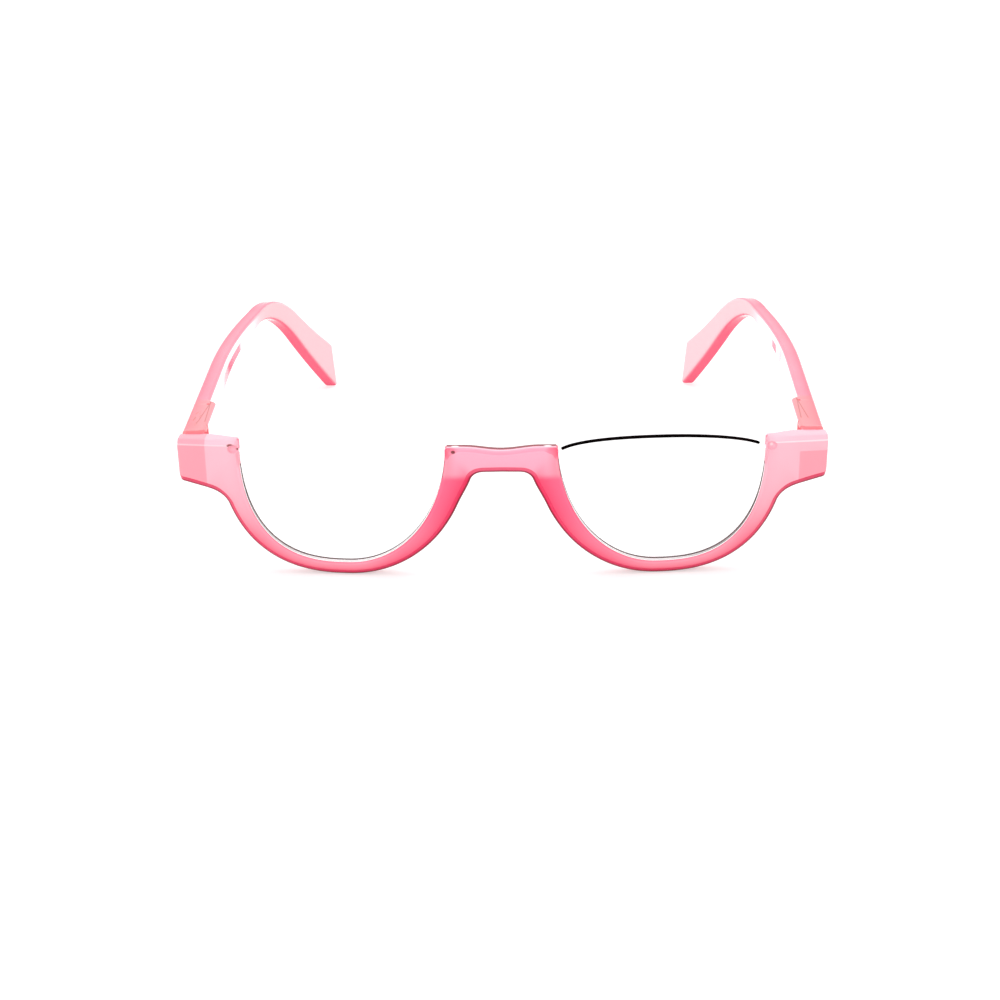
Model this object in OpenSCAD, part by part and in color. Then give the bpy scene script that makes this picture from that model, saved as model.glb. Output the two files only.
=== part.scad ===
// Half moon reading glasses with a moulded under-rim front and spring hinges.
// Millimetres, +Z up. The front faces -Y and the temples run towards +Y.
// Origin: on the table, halfway across the width and halfway along the depth.
// Left and right are the wearer's: +X is the wearer's left.

/* [Part shown] */
// Name of one node, or all of them

/* [Front] */
// Width of an end piece, from the lens opening to its outer side
end_w = 13; // [11.5:0.5:15]
// Height of the top edge of the end pieces above the table
end_top = 29.7; // [28:0.1:32]
// Height of the end pieces at their outer side
end_h = 9.6; // [8.8:0.1:10.6]
// Radius of the forward bow of the front, seen from above
wrap_r = 540; // [480:10:620]
// Back face of the end pieces, behind the foremost point
end_back = 8.2; // [7.6:0.1:9]
// Chamfer along the top of the end pieces
end_chamfer = 1.05; // [0.5:0.05:1.3]
// Depth of the rims behind the middle of the lens
rear_lip = 1.55; // [1.45:0.05:2]
// Height of the rim under the lens
rim_low = 2.9; // [2.7:0.1:3.6]
// Width of the rim at its outer side
rim_side = 4.7; // [4.4:0.1:5.6]
// Width of the rim at the nose side
rim_nose = 5.2; // [4.8:0.1:6]
// Chamfer along the lower outer edge of the rims
rim_chamfer = 1.05; // [0.6:0.05:1.2]

/* [Bridge] */
// Drop from the end pieces' top edge to the bridge's two corners
corner_drop = 1.1; // [0.8:0.1:1.5]
// Drop of the bridge's top edge from the corners to the middle
bridge_dip = 0.7; // [0.4:0.1:1.2]
// Height of the bridge in the middle
bridge_h = 4.7; // [4.2:0.1:5.4]
// Extra depth in the middle
bridge_extra = 0.25; // [0:0.05:1]
// Chamfer along the top edge
bridge_chamfer = 0.62; // [0.3:0.02:0.9]
// Cut across the two top corners
corner_cut = 1.6; // [0.8:0.1:2]
// Extra width where the bridge's underside meets the rims
corner_fill = 1; // [0:0.1:1.2]
// How far the nose pads stand back from the rims
pad_depth = 4; // [2:0.5:5]

/* [Lenses] */
// Lens centre, sideways from the middle
lens_x = 32.7; // [32:0.1:33.2]
// Rim opening from its centre to the nose side
lens_in = 21; // [20.6:0.1:21.2]
// Rim opening from its centre to the outer side
lens_out = 22.3; // [21.8:0.1:22.6]
// How far the lenses stand above the end pieces' top edge
lens_up = 1.3; // [0.8:0.1:2]
// Height of the rounded part of the lenses
lens_cap = 4.4; // [3.8:0.1:5]
// Radius of the front surface
lens_r1 = 200; // [190:5:230]
// Radius of the back surface
lens_r2 = 240; // [235:5:280]
// Thickness in the middle
lens_t = 1.5; // [1.4:0.05:1.6]
// How far the lens centre stands behind the rim's front face
lens_set = 0.15; // [0.1:0.05:0.25]
// Depth of the groove in the rim
groove = 0.75; // [0.6:0.05:0.9]
// Gap between lens edge and groove floor
lens_gap = 0.12; // [0.08:0.01:0.2]
// Gap between lens faces and groove walls
lens_side_gap = 0.05; // [0.03:0.01:0.1]

/* [Temples] */
// Step from the end piece's outer side in to the temple's
temple_in = 0.5; // [0:0.1:0.8]
// Thickness sideways
temple_t = 3.5; // [3:0.1:4]
// Height at the hinge
temple_h0 = 8.8; // [8.2:0.1:9.4]
// Height at the bend
temple_h1 = 3.3; // [3:0.1:5]
// Height at the tip
temple_h2 = 11.5; // [9:0.1:12.5]
// How far the temple's top edge stands above the end piece's
temple_up = 0.5; // [0:0.1:1]
// Straight length from the hinge to the bend
temple_straight = 86.5; // [78:0.5:98]
// Rise towards the bend, in degrees
temple_rise = 3.2; // [2:0.1:3.5]
// Drop behind the ear, in degrees
temple_drop = 46; // [40:1:52]
// Radius of the bend
bend_r = 32; // [24:1:40]
// Outward slope of the front half
bow_out = 0.034; // [0.01:0.002:0.04]
// How far the rear half curls inwards on its way to the tip
curl_in = 20.4; // [14:0.2:21]
// Distance from the hinge where the curl begins
curl_from = 45; // [40:1:55]
// How far the top of the tip is cut back along the temple
tip_cut = 3.8; // [0:0.2:5]
// Gap between temple and end piece
temple_gap = 0.35; // [0.3:0.05:0.5]
// Extra thickness over the spring box at the hinge
hump_front = 1.5; // [1.4:0.05:1.9]
// Extra thickness over the spring box at its end
hump_back = 1.5; // [1.4:0.05:1.9]

/* [Hinge] */
// Hinge axis inside the end piece's outer side
hinge_in = 3.4; // [3.2:0.1:3.7]
// Hinge axis behind the end piece
hinge_back = 2.6; // [2.5:0.1:2.7]
// Middle of the hinge below the end piece's top edge
hinge_drop = 4.3; // [4:0.1:4.8]
// Knuckle radius
knuckle_r = 1.4; // [1.3:0.05:1.45]
// Height of the middle knuckle
eye_h = 2.4; // [2:0.1:2.8]
// Height of all three knuckles together
knuckle_h = 7.8; // [7:0.1:8]
// Gap between knuckle faces
knuckle_gap = 0.1; // [0.06:0.02:0.2]
// Screw shaft radius
screw_r = 0.6; // [0.5:0.05:0.65]
// Screw head radius
screw_head_r = 0.98; // [0.9:0.02:1.05]
// Running clearance of the eye on the screw
run_gap = 0.04; // [0.02:0.01:0.08]
// Clearance of the temple's roof over the knuckles
roof_gap = 0.2; // [0.15:0.05:0.3]
// Clearance of parts that are held still
fit_gap = 0.02; // [0.01:0.01:0.04]

/* [Spring box] */
// Middle line of the box outside the hinge axis
box_off = 0.55; // [0.4:0.05:0.65]
// Width of the box
box_w = 2.6; // [2.5:0.05:2.65]
// Height of the box
box_h = 3.2; // [2.9:0.1:3.6]
// Length of the box
box_len = 13.2; // [12:0.2:16]
// Solid rear end of the box, which takes the pin
box_end = 2.2; // [2:0.1:2.6]
// Bore for the spring
box_bore_r = 1; // [0.98:0.01:1.1]
// Shank radius
shank_r = 0.5; // [0.45:0.01:0.52]
// Turns of the spring
spring_turns = 8; // [6:1:9]
// Wire radius of the spring
wire_r = 0.14; // [0.1:0.01:0.15]
// Length of the stop that holds the spring
stop_len = 1.1; // [0.9:0.1:1.4]

/* [Hidden] */
$fn = 48;
pink = [0.98, 0.55, 0.64];
steel = [0.72, 0.73, 0.75];
// exponents of the four quarter curves of the rim
q_in_out = 2.6;
q_in_nose = 2.05;
q_out_out = 2.45;
q_out_nose = 2.05;
end_half_w = lens_x + lens_out + end_w;
end_low = end_top - end_h;
bridge_corner = end_top - corner_drop;
bridge_top = bridge_corner - bridge_dip;
bridge_under = bridge_top - bridge_h;
lens_top = end_top + lens_up;
lens_corner = lens_top - lens_cap;
rim_t = lens_set + lens_t + rear_lip;
lens_drop = end_top - rim_low;
temple_x = end_half_w - temple_in;
temple_top = end_top + temple_up;
hinge_x = end_half_w - hinge_in;
hinge_y = end_back + hinge_back;
hinge_z = end_top - hinge_drop;
box_x = hinge_x + box_off;
box_y0 = hinge_y + knuckle_r + 1;
collar_len = 1.4;
// heights that lie well below and well above the part
sky = [-2 * end_top, 3 * end_top];

// GENERAL SHAPES
function lerp(a, b, t) = a + (b - a) * t;
function clamp(t) = max(0, min(1, t));
function smooth(t) = let (c = clamp(t)) c * c * (3 - 2 * c);
function wrap(x) = x * x / (2 * wrap_r);
function bez(a, b, c, t) = (1 - t) * (1 - t) * a + 2 * t * (1 - t) * b + t * t * c;

// RIM CURVES: quarter curves about the point lens_x, end_top. The angle runs
// from 0 at the outer side through 90 at the bottom to 180 at the nose side
function rim_pt(th, ao, ai, b, qo, qi) =
    let (q = th < 90 ? qo : qi, a = th < 90 ? ao : -ai)
    [lens_x + a * pow(abs(cos(th)), 2 / q), end_top - b * pow(sin(th), 2 / q)];
function inner(th, g = 0) =
    rim_pt(th, lens_out + g, lens_in + g, lens_drop + g, q_in_out, q_in_nose);
function outer(th) = rim_pt(th, lens_out + rim_side, lens_in + rim_nose,
    end_top, q_out_out, q_out_nose);
// angle at which a curve of height b has dropped by d, at its outer side
function th_drop(d, b, q) = asin(pow(clamp(d / b), q / 2));
arm_drop = 14.4;
th_a = th_drop(arm_drop, end_top, q_out_out);
th_b = 40;
d_b = lens_drop * pow(sin(th_b), 2 / q_in_out);
th_c = 140;
d_ci = lens_drop * pow(sin(th_c), 2 / q_in_nose);
d_co = end_top * pow(sin(th_c), 2 / q_out_nose);
d_corner = end_top - bridge_corner + 0.35;
d_under = end_top - bridge_under + 1.5;

// LENS SURFACES: two spheres whose centres lie behind the front
lens_mid_z = end_top / 2 + 1.5;
lens_nx = lens_x / wrap_r;
lens_ny = sqrt(1 - lens_nx * lens_nx);
lens_c1 = [lens_x - lens_r1 * lens_nx,
    wrap(lens_x) + lens_set + lens_r1 * lens_ny, lens_mid_z];
lens_c2 = [lens_x - lens_r2 * lens_nx,
    wrap(lens_x) + lens_set + lens_t + lens_r2 * lens_ny, lens_mid_z];
function ball_y(c, r, x, z) =
    c[1] - sqrt(r * r - pow(x - c[0], 2) - pow(z - c[2], 2));

// FRONT: each station is one cut through the moulded front, given by a point
// on its upper or lens edge, a point on its lower or nose edge, two chamfer
// sizes, the groove depth and the curve angle
end_low_in = [end_half_w - 5.7, end_low - 1.25];
arm_ctrl = [end_half_w - 9.3, end_low - 2.2];
arm_end = outer(th_a);
function back_y(x) = let (ax = abs(x)) lerp(
    wrap(x) + rim_t + bridge_extra * (1 - smooth(ax / 12)),
    end_back, smooth((ax - lens_x - lens_out - 0.5) / (end_w - 6)));
nA = 9;
nB = 13;
nC = 26;
nD = 14;
nE = 10;
top_in = [lens_x + lens_out + 0.35, end_top];
function zone_a() = [
    [[end_half_w, end_top - 0.5], [end_half_w - 0.1, end_low + 0.9]],
    [[end_half_w - 0.15, end_top - 0.15], [end_half_w - 0.4, end_low + 0.3]],
    for (k = [0:nA]) let (t = k / nA)
        [lerp([end_half_w - 0.5, end_top], top_in, t),
         lerp([end_half_w - 1, end_low], end_low_in, t)]
];
function zone_b() = [
    for (k = [0:nB]) let (t = k / nB, d = lerp(0.45, d_b, t),
        th = th_drop(d, lens_drop, q_in_out), u = t / 0.62)
        [inner(th), u < 1 ? bez(end_low_in, arm_ctrl, arm_end, u * 0.96 + 0.04)
            : outer(lerp(th_a, th_b, (t - 0.62) / 0.38)), th]
];
function zone_c() = [
    for (k = [1:nC]) let (th = lerp(th_b, th_c, k / nC)) [inner(th), outer(th), th]
];
// nose edge of the rims, widened towards the bridge
function nose_edge(d) = let (p = outer(180 - th_drop(d, end_top, q_out_nose)))
    [p[0] - corner_fill * smooth((p[1] - bridge_under + 7.2) / 7), p[1]];
function zone_d() = [
    for (k = [1:nD]) let (t = k / nD,
        thi = 180 - th_drop(lerp(d_ci, d_corner, t), lens_drop, q_in_nose))
        [inner(thi), nose_edge(lerp(d_co, d_under, t)), thi]
];
corner_x = inner(180 - th_drop(d_corner, lens_drop, q_in_nose))[0];
under_x = nose_edge(d_under);
function bridge_z(x) = lerp(bridge_top, bridge_corner,
    (1 - cos(180 * clamp(abs(x) / 8))) / 2);
function bridge_o(t) = t < 0.6
    ? bez(under_x, [under_x[0] - 0.8, bridge_under], [3.6, bridge_under], t / 0.6)
    : lerp([3.6, bridge_under], [0, bridge_under + 0.05], (t - 0.6) / 0.4);
function zone_e() = [
    for (k = [0:nE]) let (t = k / nE, x = (corner_x - 0.4) * (1 - t))
        [[x, bridge_z(x)], bridge_o(0.06 + 0.94 * t)]
];
za = zone_a();
zb = zone_b();
zc = zone_c();
zd = zone_d();
ze = zone_e();
nose_corner = [corner_x, bridge_corner];
// amount by which a station is near the bridge's top corner
function near_corner(i) = 1 - smooth(norm(i - nose_corner) / 2.9);
// back lobe that forms the nose pad, by height on the nose side
function pad(o) = o[0] > lens_x - 9 ? 0 : o[0] < 4.5 ? 0
    : pad_depth * pow(sin(180 * clamp((o[1] - 4) / (bridge_under - 4.6))), 2);

function at(i, o, w) = lerp(i, o, w / norm(o - i));
function f_pt(i, o, w, d) = let (p = at(i, o, w)) [p[0], wrap(p[0]) + d, p[1]];
function b_pt(i, o, w, d) = let (p = at(i, o, w)) [p[0], back_y(p[0]) + d, p[1]];
// one cut: front face, outer chamfer, back lobe, back face, groove
function cut(i, o, ci, di, co, do, th) =
    let (W = norm(o - i), p = pad(o), g = th != undef,
        s = 0.3 * p, r = 0.25, yf = wrap(i[0]), yb = back_y(i[0]),
        y0 = g ? ball_y(lens_c1, lens_r1, i[0], i[1]) - lens_side_gap
            : lerp(yf, yb, 0.45),
        y1 = g ? ball_y(lens_c2, lens_r2, i[0], i[1]) + lens_side_gap
            : lerp(yf, yb, 0.65),
        n = g ? inner(th, groove) : i)
    [f_pt(i, o, ci, 0), f_pt(i, o, W - co, 0), f_pt(i, o, W, do),
     f_pt(i, o, W, rim_t * 0.7), b_pt(i, o, W - s, p - r),
     b_pt(i, o, W - s - r, p), b_pt(i, o, W - s - 1.1, p),
     b_pt(i, o, W - s - 1.5, p * 0.06), b_pt(i, o, r, 0), [i[0], yb - r, i[1]],
     [i[0], y1, i[1]], [n[0], y1 - (g ? 0 : 0.1), n[1]],
     [n[0], y0 + (g ? 0 : 0.1), n[1]], [i[0], y0, i[1]], [i[0], yf + di, i[1]]];
stations = concat(
    [for (s = za) cut(s[0], s[1], end_chamfer, end_chamfer, 1.3, 0.95)],
    [for (k = [0:nB]) let (s = zb[k], m = smooth(k / (nB * 0.45)),
        c = lerp(end_chamfer, 0.3, m))
        cut(s[0], s[1], c, c, lerp(1.3, rim_chamfer, m), 0.9, s[2])],
    [for (s = zc) cut(s[0], s[1], 0.3, 0.3, rim_chamfer, 0.85, s[2])],
    [for (k = [0:nD - 1]) let (s = zd[k], m = near_corner(s[0]),
        e = smooth(k / nD))
        cut(s[0], s[1], lerp(0.3, corner_cut, m), lerp(0.3, 0.9, m),
            lerp(rim_chamfer, 1.3, e), 0.9, s[2])],
    [for (s = ze) let (m = near_corner(s[0]))
        cut(s[0], s[1], lerp(bridge_chamfer, corner_cut, m),
            lerp(bridge_chamfer, 0.9, m), 1.3, 0.9)]);
nv = 15;
ns = len(stations);
front_pts = concat([for (s = stations) each s],
    [for (k = [ns - 2:-1:0]) for (p = stations[k]) [-p[0], p[1], p[2]]]);
nt = 2 * ns - 1;
function skin(n, v) = [for (j = [0:n - 2]) for (i = [0:v - 1])
    let (a = j * v + i, b = j * v + (i + 1) % v)
    each [[a, b, b + v], [a, b + v, a + v]]];
function cap0(v) = [for (i = [1:v - 2]) [0, i + 1, i]];
function cap1(v, s) = [for (i = [1:v - 2]) [s, s + i, s + i + 1]];
module loft(pts, n, v) {
    polyhedron(pts, concat(skin(n, v), cap0(v), cap1(v, (n - 1) * v)),
        convexity = 10);
}

// TEMPLE: a rounded strip swept along a straight run, a bend and a tail
rise_end = [end_back + temple_gap + temple_straight * cos(temple_rise),
    temple_top - temple_h0 / 2 + temple_straight * sin(temple_rise)];
bend_len = bend_r * (temple_rise + temple_drop) * PI / 180;
bend_end = rise_end + bend_r * [sin(temple_rise) + sin(temple_drop),
    cos(temple_drop) - cos(temple_rise)];
tail_len = (bend_end[1] - temple_h2 / 2 * cos(temple_drop)) / sin(temple_drop);
temple_len = temple_straight + bend_len + tail_len;
function t_ang(s) = s < temple_straight ? temple_rise
    : s < temple_straight + bend_len
        ? temple_rise - (s - temple_straight) / bend_r * 180 / PI
        : -temple_drop;
function t_mid(s) = s < temple_straight
    ? rise_end + (s - temple_straight) * [cos(temple_rise), sin(temple_rise)]
    : s < temple_straight + bend_len
        ? rise_end + bend_r * [sin(temple_rise) - sin(t_ang(s)),
            cos(t_ang(s)) - cos(temple_rise)]
        : bend_end + (s - temple_straight - bend_len)
            * [cos(temple_drop), -sin(temple_drop)];
function t_out(s) = temple_x + bow_out * s
    - curl_in * pow(max(0, s - curl_from) / (temple_len - curl_from), 2);
function t_h(s) = temple_h1
    + (temple_h0 - temple_h1) * pow(clamp(1 - s / temple_straight), 1.1)
    + (temple_h2 - temple_h1) * pow(clamp((s - temple_straight)
        / (temple_len - temple_straight)), 1.15);
hump_len = box_len + 5;
edge_r = 0.85;
hump_slope = 1.3;
function hump(s) = lerp(hump_front, hump_back, clamp(s / hump_len))
    * (1 - clamp((s - hump_len) / hump_slope));
t_stops = concat([-1.5], [for (k = [1:6]) hump_len * k / 6],
    [hump_len + hump_slope],
    [for (k = [1:11]) lerp(hump_len + hump_slope, temple_straight, k / 12)],
    [for (k = [0:9]) temple_straight + bend_len * k / 9],
    [for (k = [1:6]) temple_straight + bend_len + tail_len * k / 6]);
// one cut of the temple, corner by corner; near the tip its top leans back
// towards the hinge
function t_cut(s) = let (m = t_mid(s), a = t_ang(s), xo = t_out(s),
    xi = xo - temple_t - hump(s), h = t_h(s) / 2, r = min(edge_r, h - 0.5),
    lean = tip_cut * smooth((s - temple_len + 14) / 14),
    slope = 2 * curl_in * max(0, s - curl_from) / pow(temple_len - curl_from, 2))
    [for (c = [[xo - r, h - r, 0], [xi + r, h - r, 90], [xi + r, r - h, 180],
        [xo - r, r - h, 270]], e = [0, 30, 60, 90])
        let (x = c[0] + r * cos(c[2] + e), v = c[1] + r * sin(c[2] + e),
            b = lean * (v + h) / (2 * h))
        [x + b * slope, m[0] - v * sin(a) - b * cos(a),
         m[1] + v * cos(a) - b * sin(a)]];
temple_pts = [for (s = t_stops) each t_cut(s)];
y_max = max([for (p = temple_pts) p[1]]);

// WHOLE PART FRAME
module placed(side) {
    translate([0, -y_max / 2, 0])
        if (side > 0) children();
        else mirror([1, 0, 0]) children();
}
// cylinder along the depth axis
module rod(y0, y1, r, x = box_x, z = hinge_z) {
    translate([x, y0, z]) rotate([-90, 0, 0]) cylinder(h = y1 - y0, r = r);
}
module post(z0, z1, r, x = hinge_x, y = hinge_y) {
    translate([x, y, z0]) cylinder(h = z1 - z0, r = r);
}
module box(x, y, z) {
    translate([x[0], y[0], z[0]]) cube([x[1] - x[0], y[1] - y[0], z[1] - z[0]]);
}

lug_lo = hinge_z - knuckle_h / 2;
lug_hi = hinge_z + knuckle_h / 2;
eye_lo = hinge_z - eye_h / 2;
eye_hi = hinge_z + eye_h / 2;
bore_top = lug_hi - 1;
head_h = 0.6;

module lug(z0, z1) {
    post(z0, z1, knuckle_r);
    box([hinge_x - knuckle_r, hinge_x + 1], [end_back - 0.8, hinge_y], [z0, z1]);
}
notch_x = lens_x + lens_out + 0.5;
module lug_bores() {
    post(lug_lo - 1, bore_top, screw_r + fit_gap);
    post(lug_lo - 1, lug_lo + head_h + 0.1, screw_head_r + 0.06);
}
module front_frame() color(pink) placed(1) difference() {
    union() {
        loft(front_pts, nt, nv);
        for (m = [0, 1]) mirror([m, 0, 0]) {
            lug(lug_lo, eye_lo - knuckle_gap);
            lug(eye_hi + knuckle_gap, lug_hi);
        }
    }
    for (m = [0, 1]) mirror([m, 0, 0]) {
        lug_bores();
        // round notch where the lens corner is tucked in
        rod(wrap(notch_x) - 1, wrap(notch_x) + 0.9, 0.95, notch_x, end_top - 1.5);
    }
}

// LENSES
lens_g = groove - lens_gap;
// depth that holds the whole lens
lens_reach = end_back + 6;
th_l0 = th_drop(end_top - lens_corner, lens_drop + lens_g, q_in_out);
th_l1 = 180 - th_drop(end_top - lens_corner, lens_drop + lens_g, q_in_nose);
l_out = inner(th_l0, lens_g)[0];
l_in = inner(th_l1, lens_g)[0];
lens_outline = concat(
    [for (k = [0:48]) inner(lerp(th_l0, th_l1, k / 48), lens_g)],
    [for (k = [1:23]) let (a = 180 - 180 * k / 24, q = a > 90 ? 2.2 : 2)
        [(l_out + l_in) / 2
            + (l_out - l_in) / 2 * sign(cos(a)) * pow(abs(cos(a)), 2 / q),
         lens_corner + (lens_top - lens_corner) * pow(sin(a), 2 / q)]]);
module lens() color([0.93, 0.96, 0.97, 0.35]) difference() {
    intersection() {
        translate([0, lens_reach, 0]) rotate([90, 0, 0])
            linear_extrude(lens_reach + 2) polygon(lens_outline);
        translate(lens_c1) sphere(r = lens_r1, $fn = 240);
    }
    translate(lens_c2) sphere(r = lens_r2, $fn = 240);
}
module lens_left() placed(1) lens();
module lens_right() placed(-1) lens();

// TEMPLES
slot_x = hinge_x + knuckle_r + 0.25;
slot_y = hinge_y + knuckle_r + 0.5;
roof_r = hinge_back - 0.3;
roof_w = 1.6;
temple_y0 = end_back + temple_gap;
pin_x = box_x - 0.45;
pin_y = box_y0 + box_len - box_end + 0.9;
pin_r = 0.38;
pin_z0 = hinge_z - 1;
pin_z1 = temple_top + (pin_y - temple_y0) * tan(temple_rise) - 0.85;
module temple() color(pink) difference() {
    loft(temple_pts, len(t_stops), 16);
    // flat front end with a cut heel, which lets the temple flex outwards
    box([hinge_x - 9, temple_x + 9], [temple_y0 - 6, temple_y0], sky);
    translate([0, 0, sky[0]]) linear_extrude(sky[1] - sky[0]) polygon([
        [slot_x + 0.2, temple_y0], [slot_x + 0.2, temple_y0 - 3],
        [temple_x + 3, temple_y0 - 3], [temple_x + 3, temple_y0 + 2.2],
        [temple_x + 0.3, temple_y0 + 0.6]]);
    // opening round the knuckles, under a thin roof with a round front
    difference() {
        box([hinge_x - 9, slot_x], [temple_y0 - 6, slot_y], sky);
        post(lug_hi + roof_gap, sky[1], roof_r);
        box([hinge_x - roof_w, slot_x + 1], [hinge_y, slot_y + 1],
            [lug_hi + roof_gap, sky[1]]);
        box([hinge_x, slot_x + 1], [hinge_y - roof_r, slot_y + 1],
            [lug_hi + roof_gap, sky[1]]);
    }
    // pocket for the spring box
    box([box_x - box_w / 2 - fit_gap, box_x + box_w / 2 + fit_gap],
        [slot_y - 1, box_y0 + box_len + fit_gap],
        [hinge_z - box_h / 2 - fit_gap, hinge_z + box_h / 2 + fit_gap]);
    post(pin_z0, sky[1], pin_r + fit_gap, pin_x, pin_y);
}
module temple_left() placed(1) temple();
module temple_right() placed(-1) temple();

// SPRING BOX: steel case with a blind bore, held by a pin
box_y1 = box_y0 + box_len;
bore_end = box_y1 - box_end;
stop_y1 = bore_end - 0.48;
stop_y0 = stop_y1 - stop_len;
module spring_box() color(steel) difference() {
    box([box_x - box_w / 2, box_x + box_w / 2], [box_y0, box_y1],
        [hinge_z - box_h / 2, hinge_z + box_h / 2]);
    rod(box_y0 - 1, bore_end, box_bore_r);
    post(pin_z0, sky[1], pin_r + fit_gap, pin_x, pin_y);
}
module spring_box_left() placed(1) spring_box();
module spring_box_right() placed(-1) spring_box();

module box_pin() color(steel)
    post(pin_z0 + 0.05, pin_z1, pin_r, pin_x, pin_y);
module box_pin_left() placed(1) box_pin();
module box_pin_right() placed(-1) box_pin();

// TONGUE: eye, neck and shank in one steel piece
bush_y0 = box_y0 + 0.3;
bush_y1 = bush_y0 + collar_len;
module hinge_tongue() color(steel) difference() {
    union() {
        post(eye_lo, eye_hi, knuckle_r);
        box([hinge_x - 0.4, hinge_x + knuckle_r - 0.05], [hinge_y + 0.3, box_y0 - 0.1],
            [hinge_z - 0.8, hinge_z + 0.8]);
        rod(box_y0 - 0.4, stop_y1 + 0.2, shank_r);
    }
    post(eye_lo - 1, eye_hi + 1, screw_r + run_gap);
}
module hinge_tongue_left() placed(1) hinge_tongue();
module hinge_tongue_right() placed(-1) hinge_tongue();

module guide_bush() color([0.8, 0.68, 0.42]) difference() {
    rod(bush_y0, bush_y1, box_bore_r - fit_gap);
    rod(bush_y0 - 1, bush_y1 + 1, shank_r + run_gap);
}
module guide_bush_left() placed(1) guide_bush();
module guide_bush_right() placed(-1) guide_bush();

// SPRING: one unbroken wire round the shank
end_play = 0.06;
spring_y0 = bush_y1 + end_play;
spring_len = stop_y0 - end_play - spring_y0;
coil_r = (box_bore_r + shank_r + 0.04) / 2;
pitch = (spring_len - 2 * wire_r) / spring_turns;
rings = spring_turns * 8;
function ring(k) = let (a = 45 * k, y = spring_y0 + wire_r + pitch * k / 8)
    [for (e = [0:60:300]) let (q = coil_r + wire_r * cos(e))
        [box_x + q * cos(a), y + wire_r * sin(e), hinge_z + q * sin(a)]];
spring_pts = [for (k = [0:rings]) each ring(k)];
spring_gap = min([for (k = [0:rings - 8]) for (p = ring(k)) for (j = [7:9])
    if (k + j <= rings) for (q = ring(k + j)) norm(p - q)]);
echo("least gap of the spring to itself, mm", spring_gap);
module hinge_spring() color([0.6, 0.61, 0.63]) loft(spring_pts, rings + 1, 6);
module hinge_spring_left() placed(1) hinge_spring();
module hinge_spring_right() placed(-1) hinge_spring();

module spring_stop() color([0.8, 0.68, 0.42]) difference() {
    rod(stop_y0, stop_y1, box_bore_r - 0.08);
    rod(stop_y0 - 1, stop_y1 + 1, shank_r + fit_gap / 2);
}
module spring_stop_left() placed(1) spring_stop();
module spring_stop_right() placed(-1) spring_stop();

// SCREW: head in the lower knuckle, tip in the upper one
module hinge_screw() color(steel) difference() {
    union() {
        post(lug_lo + 0.06, lug_lo + 0.06 + head_h, screw_head_r);
        post(lug_lo + 0.3, bore_top - 0.05, screw_r);
    }
    box([hinge_x - 2, hinge_x + 2], [hinge_y - 0.14, hinge_y + 0.14],
        [lug_lo - 1, lug_lo + 0.3]);
}
module hinge_screw_left() placed(1) hinge_screw();
module hinge_screw_right() placed(-1) hinge_screw();

front_frame();
lens_left();
lens_right();
temple_left();
temple_right();
spring_box_left();
spring_box_right();
box_pin_left();
box_pin_right();
hinge_tongue_left();
hinge_tongue_right();
guide_bush_left();
guide_bush_right();
hinge_spring_left();
hinge_spring_right();
spring_stop_left();
spring_stop_right();
hinge_screw_left();
hinge_screw_right();
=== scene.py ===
"""Half moon reading glasses in clear pink plastic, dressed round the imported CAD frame.

Lengths in the shape functions are millimetres in the front's own frame: the bridge's front face is at
y = 0, the temples run to +y and the table is z = 0. to_row() moves them to the frame's metres. Places in
the materials are metres in the frame, and left is the wearer's left, +x."""
import math
import bmesh
import bpy
import numpy as np
from mathutils import Matrix, Vector


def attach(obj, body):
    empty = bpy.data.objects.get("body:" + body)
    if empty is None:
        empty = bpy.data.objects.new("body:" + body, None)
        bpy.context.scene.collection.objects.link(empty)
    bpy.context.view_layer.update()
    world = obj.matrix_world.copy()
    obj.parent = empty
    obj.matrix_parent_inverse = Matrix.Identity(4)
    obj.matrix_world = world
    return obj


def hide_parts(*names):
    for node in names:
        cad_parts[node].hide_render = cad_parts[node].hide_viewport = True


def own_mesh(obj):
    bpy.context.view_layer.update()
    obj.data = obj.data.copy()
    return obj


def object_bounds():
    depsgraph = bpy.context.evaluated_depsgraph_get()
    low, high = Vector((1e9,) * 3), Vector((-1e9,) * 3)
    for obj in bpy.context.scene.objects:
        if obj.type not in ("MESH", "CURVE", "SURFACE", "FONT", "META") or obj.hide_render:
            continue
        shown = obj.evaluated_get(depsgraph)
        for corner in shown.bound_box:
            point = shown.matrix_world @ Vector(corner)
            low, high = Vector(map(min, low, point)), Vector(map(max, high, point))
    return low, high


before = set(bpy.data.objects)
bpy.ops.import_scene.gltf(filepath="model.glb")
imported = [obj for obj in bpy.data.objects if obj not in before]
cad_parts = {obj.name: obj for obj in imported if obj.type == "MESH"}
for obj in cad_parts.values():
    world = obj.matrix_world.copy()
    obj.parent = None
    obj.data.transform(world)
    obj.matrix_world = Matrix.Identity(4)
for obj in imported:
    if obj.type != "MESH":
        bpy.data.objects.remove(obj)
cad_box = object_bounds()
BACK_SHIFT = cad_box[0].y * 1000

# Sizes of the end pieces and rims
LENS_X, LENS_IN, LENS_OUT = 32.7, 21.0, 22.3
END_W, END_TOP, END_H, END_BACK = 13.0, 29.7, 9.6, 8.2
END_HALF, END_LOW = LENS_X + LENS_OUT + END_W, END_TOP - END_H
END_ROUND, END_FOOT, END_FOOT_ROUND, END_DRAW = 0.5, 1.0, 0.9, 0.45
SWELL_START, SWELL_RUN = 0.5, END_W - 6
WRAP_R = 540.0
RIM_LOW, RIM_SIDE, RIM_NOSE = 2.9, 4.7, 5.2
RIM_FROM, RIM_TO = math.radians(40), math.radians(140)
LENS_DROP = END_TOP - RIM_LOW
Q_IN_OUT, Q_IN_NOSE, Q_OUT_OUT, Q_OUT_NOSE = 2.6, 2.05, 2.45, 2.05
ARM_START, ARM_PULL = (END_HALF - 5.7, END_LOW - 1.25), (END_HALF - 9.3, END_LOW - 2.2)
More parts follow.
